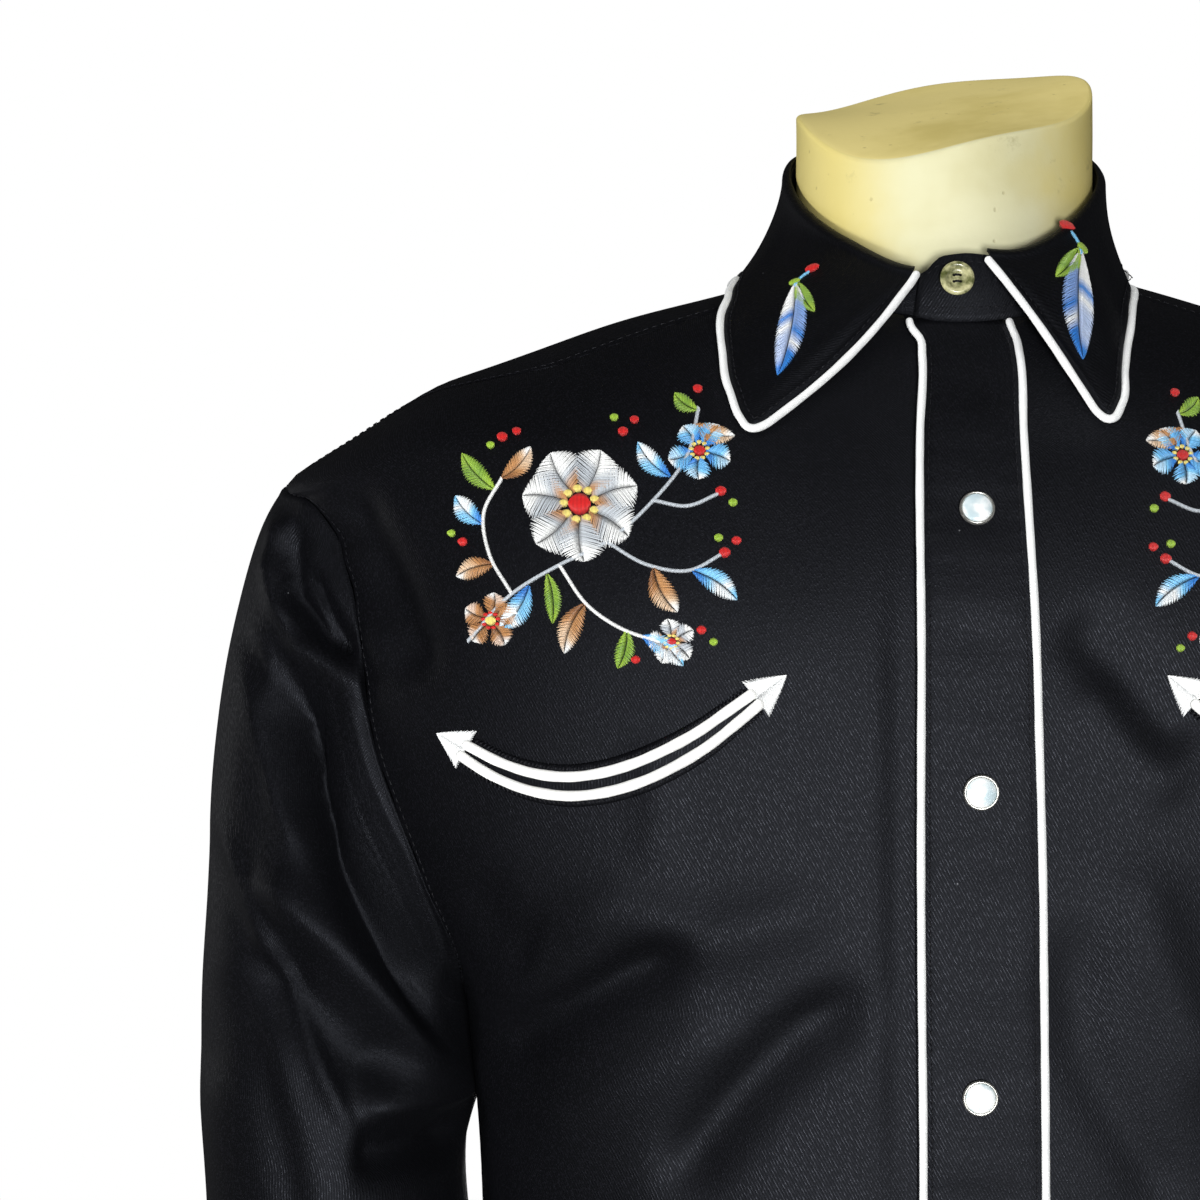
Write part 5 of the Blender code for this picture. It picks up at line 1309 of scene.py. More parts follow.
def make_leaf():
    """The leaf, with its lines closer together at both points, and the piping along its border."""
    line = np.concatenate((np.linspace(0, 3, 40)[:-1], np.linspace(3, LAST_LINE - 3, 150),
                           np.linspace(LAST_LINE - 3, LAST_LINE, 40)[1:]))
    down = np.concatenate((np.linspace(0, ROLL_SHARE, 9)[:-1], np.linspace(ROLL_SHARE, 1, 36)))
    points = leaf_point(line[None, ::-1], down[::-1, None])
    sheet_of_cloth("collar_leaf_cloth", points, COLLAR_TWILL_PAINTED_SHADE, ("collar_leaf",),
                   wall=LEAF_WALL)
    path, _ = leaf_border(PIPING_RADIUS + 0.0002)
    path = resample(path[::2], 0.0013)
    lift = np.gradient(path, axis=0)
    normals = unit(np.cross(np.cross(lift, (0.0, -0.55, 0.83)), lift))
    cord_piece("collar_piping_cord", path, normals, PIPING_RADIUS, PIPING, ("collar_piping",))


make_leaf()
print("collar made")

# %% [markdown]
# ## Snaps and the collar button
#
# A turned part is a profile carried round an axis. The snap has a domed pearl cap held by a thin nickel
# ring. The button has a raised rim, a sunken middle and four holes, which are cut with a Boolean, and black
# thread runs between them.

# %% Turned parts
SNAP_HEIGHTS = (0.730, 0.636, 0.534, 0.436, 0.338, 0.240)
SNAP_X = 0.0008
TURN_STEPS = 36


def turned(profile):
    """Rings of radius r at height z for each profile point, top to bottom, with a point at each pole."""
    profile = np.array(profile)
    angle = np.arange(TURN_STEPS) * 2 * pi / TURN_STEPS
    ring = profile[:, 0][:, None, None] * np.stack((np.cos(angle), np.sin(angle), 0 * angle), axis=-1)
    ring = ring + profile[:, 1][:, None, None] * np.array((0.0, 0.0, 1.0))
    return ring[::-1]


def rounded(profile, steps=6):
    """A smooth curve through the profile's points, with more points along it."""
    table = np.column_stack((np.arange(len(profile)), np.array(profile)))
    return smooth_columns(table, np.linspace(0, len(profile) - 1, (len(profile) - 1) * steps + 1))


def stood_on(points, place, normal):
    """Turn points whose axis is +Z so that it lies along a normal at a place."""
    normal = np.asarray(normal, float) / np.linalg.norm(normal)
    side = unit(np.cross((0.0, 0.0, 1.0), normal))
    up = np.cross(normal, side)
    return place + points[..., :1] * side + points[..., 1:2] * up + points[..., 2:] * normal


CAP_PROFILE = rounded(((0.00002, 0.0027), (0.0020, 0.0026), (0.0036, 0.00235), (0.0047, 0.0019),
                       (0.0051, 0.0013)))
RIM_PROFILE = rounded(((0.0050, 0.0012), (0.00515, 0.0017), (0.0056, 0.0018), (0.0060, 0.0012), (0.0059, 0.0003),
                       (0.0052, 0.0001), (0.0050, 0.0008), (0.0050, 0.0012)), 3)


def several(name, shape, seats, material, replaced):
    """The same turned shape stood on several seats, as one piece."""
    copies = [stood_on(shape, place, normal) for place, normal in seats]
    one = grid_faces(len(shape), TURN_STEPS, True)
    faces = np.concatenate([one + k * shape.shape[0] * TURN_STEPS for k in range(len(copies))])
    mesh = build_mesh(name, np.concatenate([copy.reshape(-1, 3) for copy in copies]), faces)
    return finish_piece(name, mesh, material, replaced)


def snap_seats():
    z = np.array(SNAP_HEIGHTS)
    turn, tape = locate(SNAP_X + 0 * z, z)
    return list(zip(body_point(turn, tape, 2 * LAY + CLOTH + 0.0002), body_normal(turn, tape)))


# %% [markdown]
# ## Sleeves and cuffs
#
# A sleeve is a tube that starts on the armhole's loop and falls along curves to the upper arm. From there
# it goes down through the rings of the second table to the cuff. It hangs empty, so it breaks into folds
# at the elbow. The other sleeve is a mirror image with its folds moved and scaled a little.

# %% Sleeve surface
SLEEVE_RINGS = (
    (0.5000, -0.2265, 0.000, 0.0475, 0.0700),
    (0.4500, -0.2222, -0.003, 0.0492, 0.0685),
    (0.3900, -0.2222, -0.008, 0.0490, 0.0655),
    (0.3350, -0.2240, -0.013, 0.0475, 0.0620),
    (0.2800, -0.2270, -0.018, 0.0460, 0.0580),
    (0.2400, -0.2290, -0.022, 0.0450, 0.0550),
    (0.2120, -0.2300, -0.025, 0.0430, 0.0510),
    (0.1990, -0.2305, -0.026, 0.0385, 0.0465),
    (0.1915, -0.2305, -0.027, 0.0335, 0.0415),
    (0.1840, -0.2305, -0.027, 0.0334, 0.0414),
)
CUFF_TOP, CUFF_BOTTOM = 0.190, 0.124
CUFF_CENTRE, CUFF_HALF = (-0.2305, -0.027), (0.0356, 0.0436)
CUFF_LAP, CUFF_SEAM = radians(24), radians(140)
CUFF_SNAP_HEIGHTS = (0.142, 0.172)
CUFF_LAP_LIFT = 0.0022
SLEEVE_PLACKET = (0.605, 0.645)
SLEEVE_COLUMNS, SLEEVE_ROWS = 112, 176
OUTER_SLACK, INNER_SLACK = 0.0015, 0.011
GRAIN_LEAN = radians(18)
PLACKET_FALL = (1.60, 1.975)
CUFF_WALL = 0.0014


def armhole_loop(sign, samples=97):
    """Points of an armhole, 0 at the armpit, up the front, over the shoulder point and down the back, in
    the wearer's right place whatever the sign."""
    share = np.linspace(0, 1, samples)
    front, back = armhole_turn(share, False), armhole_turn(share, True)
    turn = np.concatenate((front, back[-2::-1]))
    tape = np.concatenate((armhole_tape(share), armhole_tape(share)[-2::-1]))
    points = body_point(sign * turn, tape, -0.0003) * np.array((-sign, 1.0, 1.0))
    middle = points.mean(axis=0)
    return points + unit((middle - points) * np.array((0.0, 1.0, 1.0))) * SEAM


ARMHOLE_LOOPS = {sign: armhole_loop(sign) for sign in (-1, 1)}


def sleeve_point(side, down, sign):
    """side 0 is the armpit line, 0.25 the front, 0.5 the outside and 0.75 the back. down runs from the
    armhole (0) along cubic Bezier paths to the upper arm ring (1), then ring by ring to the cuff (2)."""
    side, down = np.broadcast_arrays(np.asarray(side, float), np.asarray(down, float))
    loop = ARMHOLE_LOOPS[sign]
    start = np.stack([np.interp(side % 1.0, np.linspace(0, 1, len(loop)), loop[:, axis])
                      for axis in range(3)], axis=-1)
    angle = 2 * pi * side
    top, bottom = SLEEVE_RINGS[0][0], SLEEVE_RINGS[-1][0]
    fallen = np.clip(down - 1, 0, 1) * (top - bottom)
    table = [(top - row[0], *row[1:]) for row in SLEEVE_RINGS]
    centre_x, centre_y, half_x, half_y = np.moveaxis(smooth_columns(table, fallen), -1, 0)
    ring = np.stack((centre_x + half_x * np.cos(angle), centre_y - half_y * np.sin(angle), top - fallen), axis=-1)
    ring[..., 2] += 0.016 * (1 - np.cos(angle)) / 2 * np.clip(2 - down, 0, 1)
    reach = np.linalg.norm(ring - start, axis=-1, keepdims=True)
    tilt = np.radians(49 + 33 * ((1 + np.cos(angle)) / 2) ** 3)
    leave = np.stack((-np.cos(tilt), -0.25 * np.sin(angle) * np.cos(tilt), -np.sin(tilt)), axis=-1)
    t = np.clip(down, 0, 1)[..., None]
    first = start + leave * reach * 0.17
    second = ring + np.array((0.0, 0.0, 1.0)) * reach * 0.33
    curve = ((1 - t) ** 3 * start + 3 * (1 - t) ** 2 * t * first + 3 * (1 - t) * t**2 * second + t**3 * ring)
    return np.where((down <= 1)[..., None], curve, ring)


def sleeve_normal(side, down, sign):
    small = 0.003
    around = sleeve_point(side + small, down, sign) - sleeve_point(side - small, down, sign)
    falling = sleeve_point(side, down + small, sign) - sleeve_point(side, np.maximum(down - small, 0), sign)
    normal = unit(np.cross(falling, around))
    outward = sleeve_point(side, down, sign) - sleeve_point((side + 0.5) % 1.0, down, sign)
    return normal * np.where(np.sum(normal * outward, axis=-1, keepdims=True) < 0, -1, 1)


def sleeve_surface(side, down, sign, out=0.0):
    """sleeve_point with its folds, the seam's ridge at the armhole and small waves, along the normals."""
    points = sleeve_point(side, down, sign)
    table = SLEEVE_FOLDS if sign < 0 else LEFT_SLEEVE_FOLDS
    facing = -np.sin(2 * pi * side) + 0 * down
    fade = smooth_step(down, 0.0, 0.028) * (1 - smooth_step(down, 1.86, 1.97))
    height = (fold_height(points, table, facing) + waves(points)) * fade
    edge = down * 0.26
    phase = 1.7 * np.sin(side * 40.0)
    height = height + 0.0007 * (np.exp(-((edge - 0.0035) / 0.0035) ** 2)) * (1 - smooth_step(down, 0.05, 0.09))
    height = height + 0.00012 * np.sin(side * 2 * pi * 66 + phase) * np.exp(-edge / 0.008)
    gather = 0.0011 * np.sin(side * 2 * pi * 23 + phase) * smooth_step(down, 1.72, 1.93)
    height = height + gather * (1 - smooth_step(down, 1.95, 1.985))
    slack = OUTER_SLACK * np.exp(-((points[..., 2] - 0.665) / 0.060) ** 2) * np.clip(-np.cos(2 * pi * side), 0, 1)
    pinch = np.exp(-((points[..., 2] - 0.532) / 0.030) ** 2) * np.exp((np.cos(2 * pi * (side + 0.05)) - 1) / 0.14)
    height = height + slack * fade + INNER_SLACK * pinch
    return points + sleeve_normal(side, down, sign) * (height + out)[..., None]


def varied(table):
    """The other sleeve's folds: the same ones, moved by a few millimetres and scaled."""
    changed = []
    for k, fold in enumerate(table):
        path = tuple((x, z - 0.006 * (k % 3) + 0.004 * (k % 2)) for x, z in fold.path)
        changed.append(fold._replace(height=fold.height * (0.75 + 0.15 * (k % 3)),
                                     spread=fold.spread * (1.15 - 0.1 * (k % 2)), path=path))
    return tuple(changed)


LEFT_SLEEVE_FOLDS = varied(SLEEVE_FOLDS)


def mirrored(points, sign):
    """Turn a wearer's-right grid into the left one (sign +1), keeping its faces outward."""
    if sign < 0:
        return points
    return (points * np.array((-1.0, 1.0, 1.0)))[:, ::-1]


def cuff_point(angle, z, out=0.0):
    """An oval band whose last stretch laps over its first, with a slight flare."""
    lap = CUFF_LAP_LIFT * smooth_step(angle, CUFF_SEAM - radians(30), CUFF_SEAM - radians(2))
    flare = 0.0012 * (CUFF_TOP - z) / (CUFF_TOP - CUFF_BOTTOM)
    grow = lap + flare + out
    return np.stack((CUFF_CENTRE[0] - (CUFF_HALF[0] + grow) * np.sin(angle),
                     CUFF_CENTRE[1] - (CUFF_HALF[1] + grow) * np.cos(angle), z + 0 * angle), axis=-1)


# %% Sleeves and cuffs
def cuff_seats(sign):
    """Places and normals of a cuff's two snaps."""
    spot = np.full(2, CUFF_SEAM + CUFF_LAP / 2)
    z = np.array(CUFF_SNAP_HEIGHTS)
    place = cuff_point(spot, z, LAY)
    normal = unit((place - np.array((*CUFF_CENTRE, 0))) * np.array((1.0, 1.0, 0.0)))
    turn = np.array((-sign, 1.0, 1.0))
    return list(zip(place * turn, normal * turn))


def make_sleeve(name, sign):
    """A sleeve, the placket above its cuff, and the cuff."""
    side = np.arange(SLEEVE_COLUMNS)[None, :] / SLEEVE_COLUMNS
    head = np.array((0, 0.003, 0.007, 0.012, 0.018, 0.026))
    down = np.concatenate((head, np.linspace(0.038, 1, SLEEVE_ROWS // 2),
                           np.linspace(1, 2, SLEEVE_ROWS // 2)[1:]))[:, None]
    points = mirrored(sleeve_surface(side, down, sign)[::-1, ::-1], sign)
    closed = np.concatenate((points, points[:, :1]), axis=1)
    grain = turned_grain(closed, GRAIN_LEAN)[:, :-1]
    sheet_of_cloth(f"sleeve_{name}_cloth", points, TWILL, (f"sleeve_{name}",), grain, closed=True)

    band = np.linspace(*SLEEVE_PLACKET, 7)[None, :]
    fall = np.linspace(*PLACKET_FALL, 60)[:, None]
    points = mirrored(sleeve_surface(band, fall, sign, LAY + CLOTH + 0 * fall * band)[::-1, ::-1], sign)
    sheet_of_cloth(f"sleeve_placket_{name}_cloth", points, TWILL, (f"sleeve_placket_{name}",))

    angle = np.linspace(CUFF_SEAM - 2 * pi, CUFF_SEAM + CUFF_LAP, 150)[None, :]
    z = CUFF_BOTTOM + (CUFF_TOP - CUFF_BOTTOM) * edged(16, 0.04)[:, None]
    base = cuff_point(angle, z + 0 * angle)
    grown = cuff_point(angle, z + 0 * angle, seam_relief(base, (1, 1, 1, 1), 0.0004) + 0.5 * waves(base))
    sheet_of_cloth(f"cuff_{name}_cloth", mirrored(grown[:, ::-1], sign), TWILL,
                   (f"cuff_{name}",), wall=CUFF_WALL)


make_sleeve("right", -1)
make_sleeve("left", 1)
print("sleeves and cuffs made")

# %% Snaps on the placket and cuffs
seats = snap_seats() + cuff_seats(-1) + cuff_seats(1)
snap_nodes = [f"snap_{k + 1}" for k in range(len(SNAP_HEIGHTS))]
snap_nodes += [f"cuff_snap_{name}_{k}" for name in ("right", "left") for k in (1, 2)]
several("snap_caps", turned(CAP_PROFILE), seats, PEARL, snap_nodes)
several("snap_rims", turned(RIM_PROFILE), seats, NICKEL, ())
print("snaps:", len(seats))

# %% Collar button
BUTTON_TURN = radians(-2.5) - 2 * pi
BUTTON_UP = 0.57
HOLE_REACH, HOLE_RADIUS = 0.0016, 0.00055
BUTTON_AXIS = np.array((0.0, -1.0, 0.10))
BUTTON_PROFILE = rounded(((0.00002, 0.0018), (0.0018, 0.0018), (0.0030, 0.0019), (0.0040, 0.0026),
                          (0.0048, 0.0029), (0.0056, 0.0026), (0.0060, 0.0018), (0.0058, 0.0008),
                          (0.0050, 0.0002), (0.0028, 0.0), (0.00002, 0.0)), 4)


def make_button():
    """The horn disc with four holes cut through it; returns its place and the holes' flat places."""
    place = stand_point(np.array(BUTTON_TURN), np.array(BUTTON_UP), LAY)
    button = several("collar_button_horn", turned(BUTTON_PROFILE), [(place, BUTTON_AXIS)], HORN,
                     ("collar_button",))
    corners = np.array([(HOLE_REACH * cos(a), HOLE_REACH * sin(a), 0.0)
                        for a in (pi / 4 + k * pi / 2 for k in range(4))])
    drill = turned(((0.00002, 0.006), (HOLE_RADIUS, 0.006), (HOLE_RADIUS, -0.004), (0.00002, -0.004)))
    rods = [stood_on(drill + corner, place, BUTTON_AXIS) for corner in corners]
    faces = np.concatenate([grid_faces(4, TURN_STEPS, True) + k * 4 * TURN_STEPS for k in range(4)])
    holes = bpy.data.objects.new("button_holes", build_mesh("button_holes", np.array(rods), faces))
    bpy.context.scene.collection.objects.link(holes)
    holes.hide_render = True
    cut = button.modifiers.new("holes", "BOOLEAN")
    cut.operation = "DIFFERENCE"
    cut.solver = "EXACT"
    cut.object = holes
    bpy.context.view_layer.update()
    cut_mesh = bpy.data.meshes.new_from_object(button.evaluated_get(bpy.context.evaluated_depsgraph_get()))
    button.modifiers.remove(cut)
    button.data = cut_mesh
    bpy.data.objects.remove(holes, do_unlink=True)
    print("button faces:", len(cut_mesh.polygons))
    return place, corners


button_place, button_corners = make_button()

# %% [markdown]
# ## Stitches
#
# A stitch is one short thread that dips into the cloth at both ends. Hundreds of them would be slow to place
# one by one, so the whole row is worked out at once: the path is cut into equal steps, and each stitch is a
# five-sided tube with four rings, the outer two sunk and thin. The same maker sews the seams in black and
# the embroidery in colour.

# %% Stitch maker
def stitch_bodies(starts, ends, normals, radius, lift, sink=0.0003, sides=5, bow=None):
    """Tubes from starts to ends with four rings each. The rings lie at shares 0, 0.22, 0.78 and 1 of the
    stitch; the middle two are lifted along the normal and have the full radius."""
    count = len(starts)
    shares = np.array((0.0, 0.22, 0.78, 1.0))
    height = np.array((-sink, lift, lift, -sink))
    size = np.array((0.45, 1.0, 1.0, 0.45))
    run = ends - starts
    tangent = unit(run)
    side = unit(np.cross(tangent, normals))
    up = np.cross(side, tangent)
    centre = starts[:, None] + run[:, None] * shares[None, :, None] + normals[:, None] * height[None, :, None]
    if bow is not None:
        centre = centre + normals[:, None] * (np.asarray(bow)[:, None] * np.sin(pi * shares))[..., None]
    angle = np.arange(sides) * 2 * pi / sides
    ring = (np.cos(angle)[None, :, None] * side[:, None] + np.sin(angle)[None, :, None] * up[:, None])
    radii = np.broadcast_to(radius, count)[:, None] * size[None, :]
    points = centre[:, :, None] + radii[:, :, None, None] * ring[:, None]
    one = grid_faces(4, sides, True)[:, ::-1]
    faces = (one[None] + (np.arange(count) * 4 * sides)[:, None, None]).reshape(-1, 4)
    return points.reshape(-1, 3), faces


STITCH_LENGTH, STITCH_GAP = 0.0026, 0.0007


def running_stitches(path, normals, length=STITCH_LENGTH, gap=STITCH_GAP):
    """Cut a path into stitches: starts, ends and normals of each."""
    steps = np.linalg.norm(np.diff(path, axis=0), axis=1)
    along = np.concatenate(((0.0,), np.cumsum(steps)))
    begin = np.arange(gap, along[-1] - length, length + gap)

    def at(values, where):
        return np.stack([np.interp(where, along, values[:, k]) for k in range(3)], -1)

    return at(path, begin), at(path, begin + length), unit(at(normals, begin + length / 2))


def sew(name, rows, material, radius=0.00022, lift=0.00016):
    """Sew rows of (starts, ends, normals) as one piece."""
    starts, ends, normals = (np.concatenate(part) for part in zip(*rows))
    points, faces = stitch_bodies(starts, ends, normals, radius, lift)
    print(f"{name}: {len(starts)} stitches")
    return finish_piece(name, build_mesh(name, points, faces), material)


# %% [markdown]
# ## Topstitching
#
# The rows follow the garment's construction: inside both pipings of the placket, round the collar and its
# band, beside the yoke seam, round the armholes on the body's side, along the curved hem, and round the
# cuffs. The thread is black, so the rows show only as fine dotted lines.

# %% Topstitching rows
PIPING_INSET, ARMHOLE_INSET = 0.0030, 0.0050
SHOULDER_INSET, YOKE_INSET, HEM_INSET = 0.0035, 0.0032, 0.0058
COLLAR_STITCH = 0.0024


def body_row(turn, tape, out=0.0):
    path = body_point(turn, tape, out)
    return running_stitches(path, body_normal(turn, tape))


def make_body_stitches():
    rows = []
    z = np.arange(0.082, PLACKET_TOP - 0.002, 0.002)
    for column, inset in ((FREE_EDGE, PIPING_INSET), (SEWN_EDGE, -PIPING_INSET)):
        x = placket_edge(z, column) + inset
        rows.append(running_stitches(on_front(x, z, LAY + CLOTH + 0.0003), normals_at(x, z)))
    share = np.linspace(0.02, 0.985, 200)
    for sign in (-1, 1):
        for back in (False, True):
            turn = armhole_turn(share, back)
            inset = ARMHOLE_INSET * (1 if back else -1)
            rows.append(body_row(sign * (turn + seam_turn(armhole_tape(share), inset)), armhole_tape(share)))
        tape = np.linspace(SHOULDER_TAPE + 0.004, NECK_TAPE - 0.004, 120)
        rows.append(body_row(sign * (yoke_turn(tape) + seam_turn(tape, SHOULDER_INSET)), tape))
    start = float(armhole_turn(np.array(YOKE_SHARE), True))
    turn = np.linspace(start + 0.02, 2 * pi - start - 0.02, 240)
    edge = np.abs(2 * (turn - start) / (2 * pi - 2 * start) - 1)
    rows.append(body_row(turn, armhole_row(YOKE_SHARE, edge) + YOKE_INSET))
    for low, high in ((inner_turn(np.array(0.09), True), pi / 2), (-pi / 2, inner_turn(np.array(0.09), False)),
                      (pi / 2, 3 * pi / 2)):
        turn = np.linspace(float(low) + 0.01, float(high) - 0.01, 260)
        rows.append(body_row(turn, hem_tape(turn) + HEM_INSET, 0.0004))
    sew("seam_stitches", rows, BLACK_THREAD)


def make_collar_stitches():
    path, normals = leaf_border(-0.0022, 0.00012)
    rows = [running_stitches(path[4:-4], normals[4:-4], COLLAR_STITCH)]
    turn = np.linspace(STAND_END + 0.03, radians(-306), 120)
    for up in (0.10, 0.86):
        points = stand_point(turn, up * np.ones(120), 0.0001)
        flat = np.stack((np.sin(turn), -np.cos(turn), 0 * turn), axis=-1)
        rows.append(running_stitches(points, flat, COLLAR_STITCH))
    sew("collar_stitches", rows, BLACK_THREAD)


def make_cuff_stitches():
    rows = []
    angle = np.linspace(CUFF_SEAM - 2 * pi + 0.05, CUFF_SEAM + CUFF_LAP - 0.08, 300)
    flat = np.stack((-np.sin(angle), -np.cos(angle), 0 * angle), axis=-1)
    for sign in (-1, 1):
        turn = np.array((-sign, 1.0, 1.0))
        for z in (CUFF_BOTTOM + 0.004, CUFF_TOP - 0.004):
            points = cuff_point(angle, np.full(300, z), 0.0001)
            rows.append(running_stitches(points * turn, flat * turn))
        down = np.linspace(1.61, 1.97, 120)
        for side in (SLEEVE_PLACKET[0] + 0.005, SLEEVE_PLACKET[1] - 0.005):
            sides = np.full(120, side)
            points = sleeve_surface(sides, down, sign, np.full(120, LAY + CLOTH))
            rows.append(running_stitches(points * turn, sleeve_normal(sides, down, sign) * turn))
    sew("cuff_stitches", rows, BLACK_THREAD)


make_body_stitches()
make_collar_stitches()
make_cuff_stitches()

# %% [markdown]
# ## Smile pockets
#
# A smile pocket is a curved slit with a narrow black welt. Two white cords follow the slit, and black thread
# is whipped over the cords' outer edges. Each end is closed by an arrowhead in white satin stitch: two
# fans of threads that meet in a ridge along its middle.

# %% Pocket surface
POCKET_LINE = (
    (-0.1726, 0.6495),
    (-0.1600, 0.6427),
    (-0.1490, 0.6389),
    (-0.1368, 0.6374),
    (-0.1246, 0.6388),
    (-0.1135, 0.6421),
    (-0.1023, 0.6472),
    (-0.0918, 0.6533),
    (-0.0828, 0.6600),
    (-0.0729, 0.6677),
)
SPREAD_ENDS, SPREAD_MIDDLE = 0.0038, 0.0066
WELT_MARGIN, WELT_WALL = 0.0040, 0.0008
CORD_RADIUS = 0.0018
ARROW_LENGTHS = (0.0113, 0.0130)
ARROW_PITCH, ARROW_SLANT, ARROW_BACK = 0.00030, 0.0028, 0.0014
ARROW_HALF_WIDTH = 0.0074


def pocket_frame(share):
    """x, z of the pocket's middle line and its unit tangent, at shares 0..1 of its length."""
    line = resample(POCKET_LINE, 0.001)
    along = np.linspace(0, 1, len(line))
    tangent = unit(np.gradient(line, axis=0))
    return tuple(np.interp(share, along, column) for column in (*line.T, *tangent.T))


def on_pocket(share, across, out, sign):
    """A point beside the pocket's middle line, on the chest; sign +1 mirrors it to the wearer's left."""
    x, z, tx, tz = pocket_frame(share)
    return on_front(-sign * (x - tz * across), z + tx * across, out)


def pocket_spread(share):
    return SPREAD_ENDS + (SPREAD_MIDDLE - SPREAD_ENDS) * np.sin(pi * share) ** 0.7


def pocket_normal(share, sign):
    x, z, _, _ = pocket_frame(share)
    return normals_at(-sign * x, z)


def make_pocket(side, sign):
    share = np.linspace(0.02, 0.98, 110)
    reach = pocket_spread(share) / 2 + WELT_MARGIN * np.sin(pi * np.clip(share, 0.06, 0.94)) ** 0.25
    across = np.linspace(-1, 1, 13)[:, None] * reach
    puff = 0.0003 * np.cos(np.linspace(-1, 1, 13)[:, None] * pi / 2) + 0 * across
    points = on_pocket(share[None, :] + 0 * across, across, LAY + WELT_WALL + puff, sign)
    if sign > 0:
        points = points[:, ::-1]
    sheet_of_cloth(f"pocket_welt_{side}_cloth", points, WELT_TWILL_PAINTED_SHADE, (f"pocket_welt_{side}",),
                   wall=WELT_WALL)
    share = np.linspace(0.012, 0.988, 120)
    rows = []
    for level, name in ((1, "upper"), (-1, "lower")):
        path = on_pocket(share, level * pocket_spread(share) / 2, LAY + WELT_WALL + CORD_RADIUS * 0.72, sign)
        cord_piece(f"pocket_cord_{name}_{side}_cover", path, pocket_normal(share, sign), CORD_RADIUS, POCKET_CORD,
                   (f"pocket_cord_{name}_{side}",), flatten=0.72)
        begin = np.arange(0.03, 0.97, 0.0132)
        shift = 0.0100 * (1 if level < 0 else 0.4)
        spread = pocket_spread(begin) / 2
        near = on_pocket(begin, level * (spread + CORD_RADIUS * 0.96), LAY + WELT_WALL + 0.0005, sign)
        far = on_pocket(begin + shift, level * (spread + CORD_RADIUS + 0.0015), LAY + WELT_WALL + 0.0002, sign)
        rows.append((near, far, pocket_normal(begin, sign)))
    sew(f"pocket_whipping_{side}", rows, BLACK_THREAD, radius=0.00042, lift=0.0003)


make_pocket("right", -1)
make_pocket("left", 1)

# %% [markdown]
# ## Satin stitch and embroidery
#
# Satin stitch fills a shape with parallel threads that lie side by side. A petal or leaf is given by its
# middle line and its width. Threads run slantwise from the middle line to the edge on both sides, like the
# barbs of a leaf, and their colour changes along the shape. The chest carries a spray of flowers, leaves
# and berries, and each collar point a small sprig. They are ordinary garden motifs.

# %% Satin stitch
WHITE, GREY, TAN, BROWN = (0.86, 0.87, 0.86), (0.50, 0.54, 0.58), (0.52, 0.26, 0.10), (0.26, 0.11, 0.04)
SKY, BLUE, RED = (0.22, 0.58, 0.86), (0.03, 0.22, 0.66), (0.62, 0.02, 0.02)
LIME, YELLOW = (0.34, 0.52, 0.05), (0.80, 0.68, 0.20)
THREAD_RADIUS = 0.00027
THREAD_PITCH = 0.00040


def leaf_threads(base, tip, width, bend, colours, slant=0.55):
    """Threads of one leaf or petal in flat coordinates. The middle line is a parabola from base to tip that
    bows sideways by `bend`; the half width at share t is width sin(pi t^0.8)^0.8. Returns starts, ends,
    colours and bows."""
    base, tip = np.array(base, float), np.array(tip, float)
    run = tip - base
    length = np.linalg.norm(run)
    tangent = run / length
    side = np.array((-tangent[1], tangent[0]))
    count = max(int(length / THREAD_PITCH), 4)
    t = (np.arange(count) + 0.5) / count
    middle = base + run * t[:, None] + side * (4 * bend * t * (1 - t))[:, None]
    half = width * np.sin(pi * t**0.8) ** 0.8
    starts, ends, shades = [], [], []
    stops = np.linspace(0, 1, len(colours))
    for sign in (-1, 1):
        ahead = np.clip(t + slant * half / length, 0, 1)
        forward = base + run * ahead[:, None] + side * (4 * bend * ahead * (1 - ahead))[:, None]
        uneven = 1 + 0.10 * np.sin(np.arange(count) * 2.4 + sign)
        edge = forward + side * (sign * half * uneven)[:, None]
        starts.append(middle + side * sign * 0.00008)
        ends.append(edge)
        shift = np.clip(t + 0.12 * sign * np.sin(t * 9.0), 0, 1)
        shades.append(np.stack([np.interp(shift, stops, np.array(colours)[:, k]) for k in range(3)], -1))
    widths = np.concatenate((half, half))
    return np.concatenate(starts), np.concatenate(ends), np.concatenate(shades), 0.10 * widths


def stem_threads(points, thickness, colour):
    """A stem: short slanted stitches across a smooth line."""
    line = resample(np.array(points, float), 0.00046)
    tangent = unit(np.gradient(line, axis=0))
    side = np.stack((-tangent[:, 1], tangent[:, 0]), axis=-1)
    half = thickness / 2
    starts = line - side * half - tangent * half * 0.8
    ends = line + side * half + tangent * half * 0.8
    return starts, ends, np.tile(colour, (len(line), 1)), np.full(len(line), 0.00018)


def berry_threads(centre, radius, colour):
    """A round berry: parallel threads whose length follows the circle."""
    count = max(int(2 * radius / THREAD_PITCH), 4)
    x = (np.arange(count) + 0.5) / count * 2 - 1
    half = np.sqrt(1 - x**2) * radius
    low = np.stack((centre[0] + x * radius, centre[1] - half), axis=-1)
    high = np.stack((centre[0] + x * radius, centre[1] + half), axis=-1)
    return low, high, np.tile(colour, (count, 1)), 0.30 * half + 0.0002


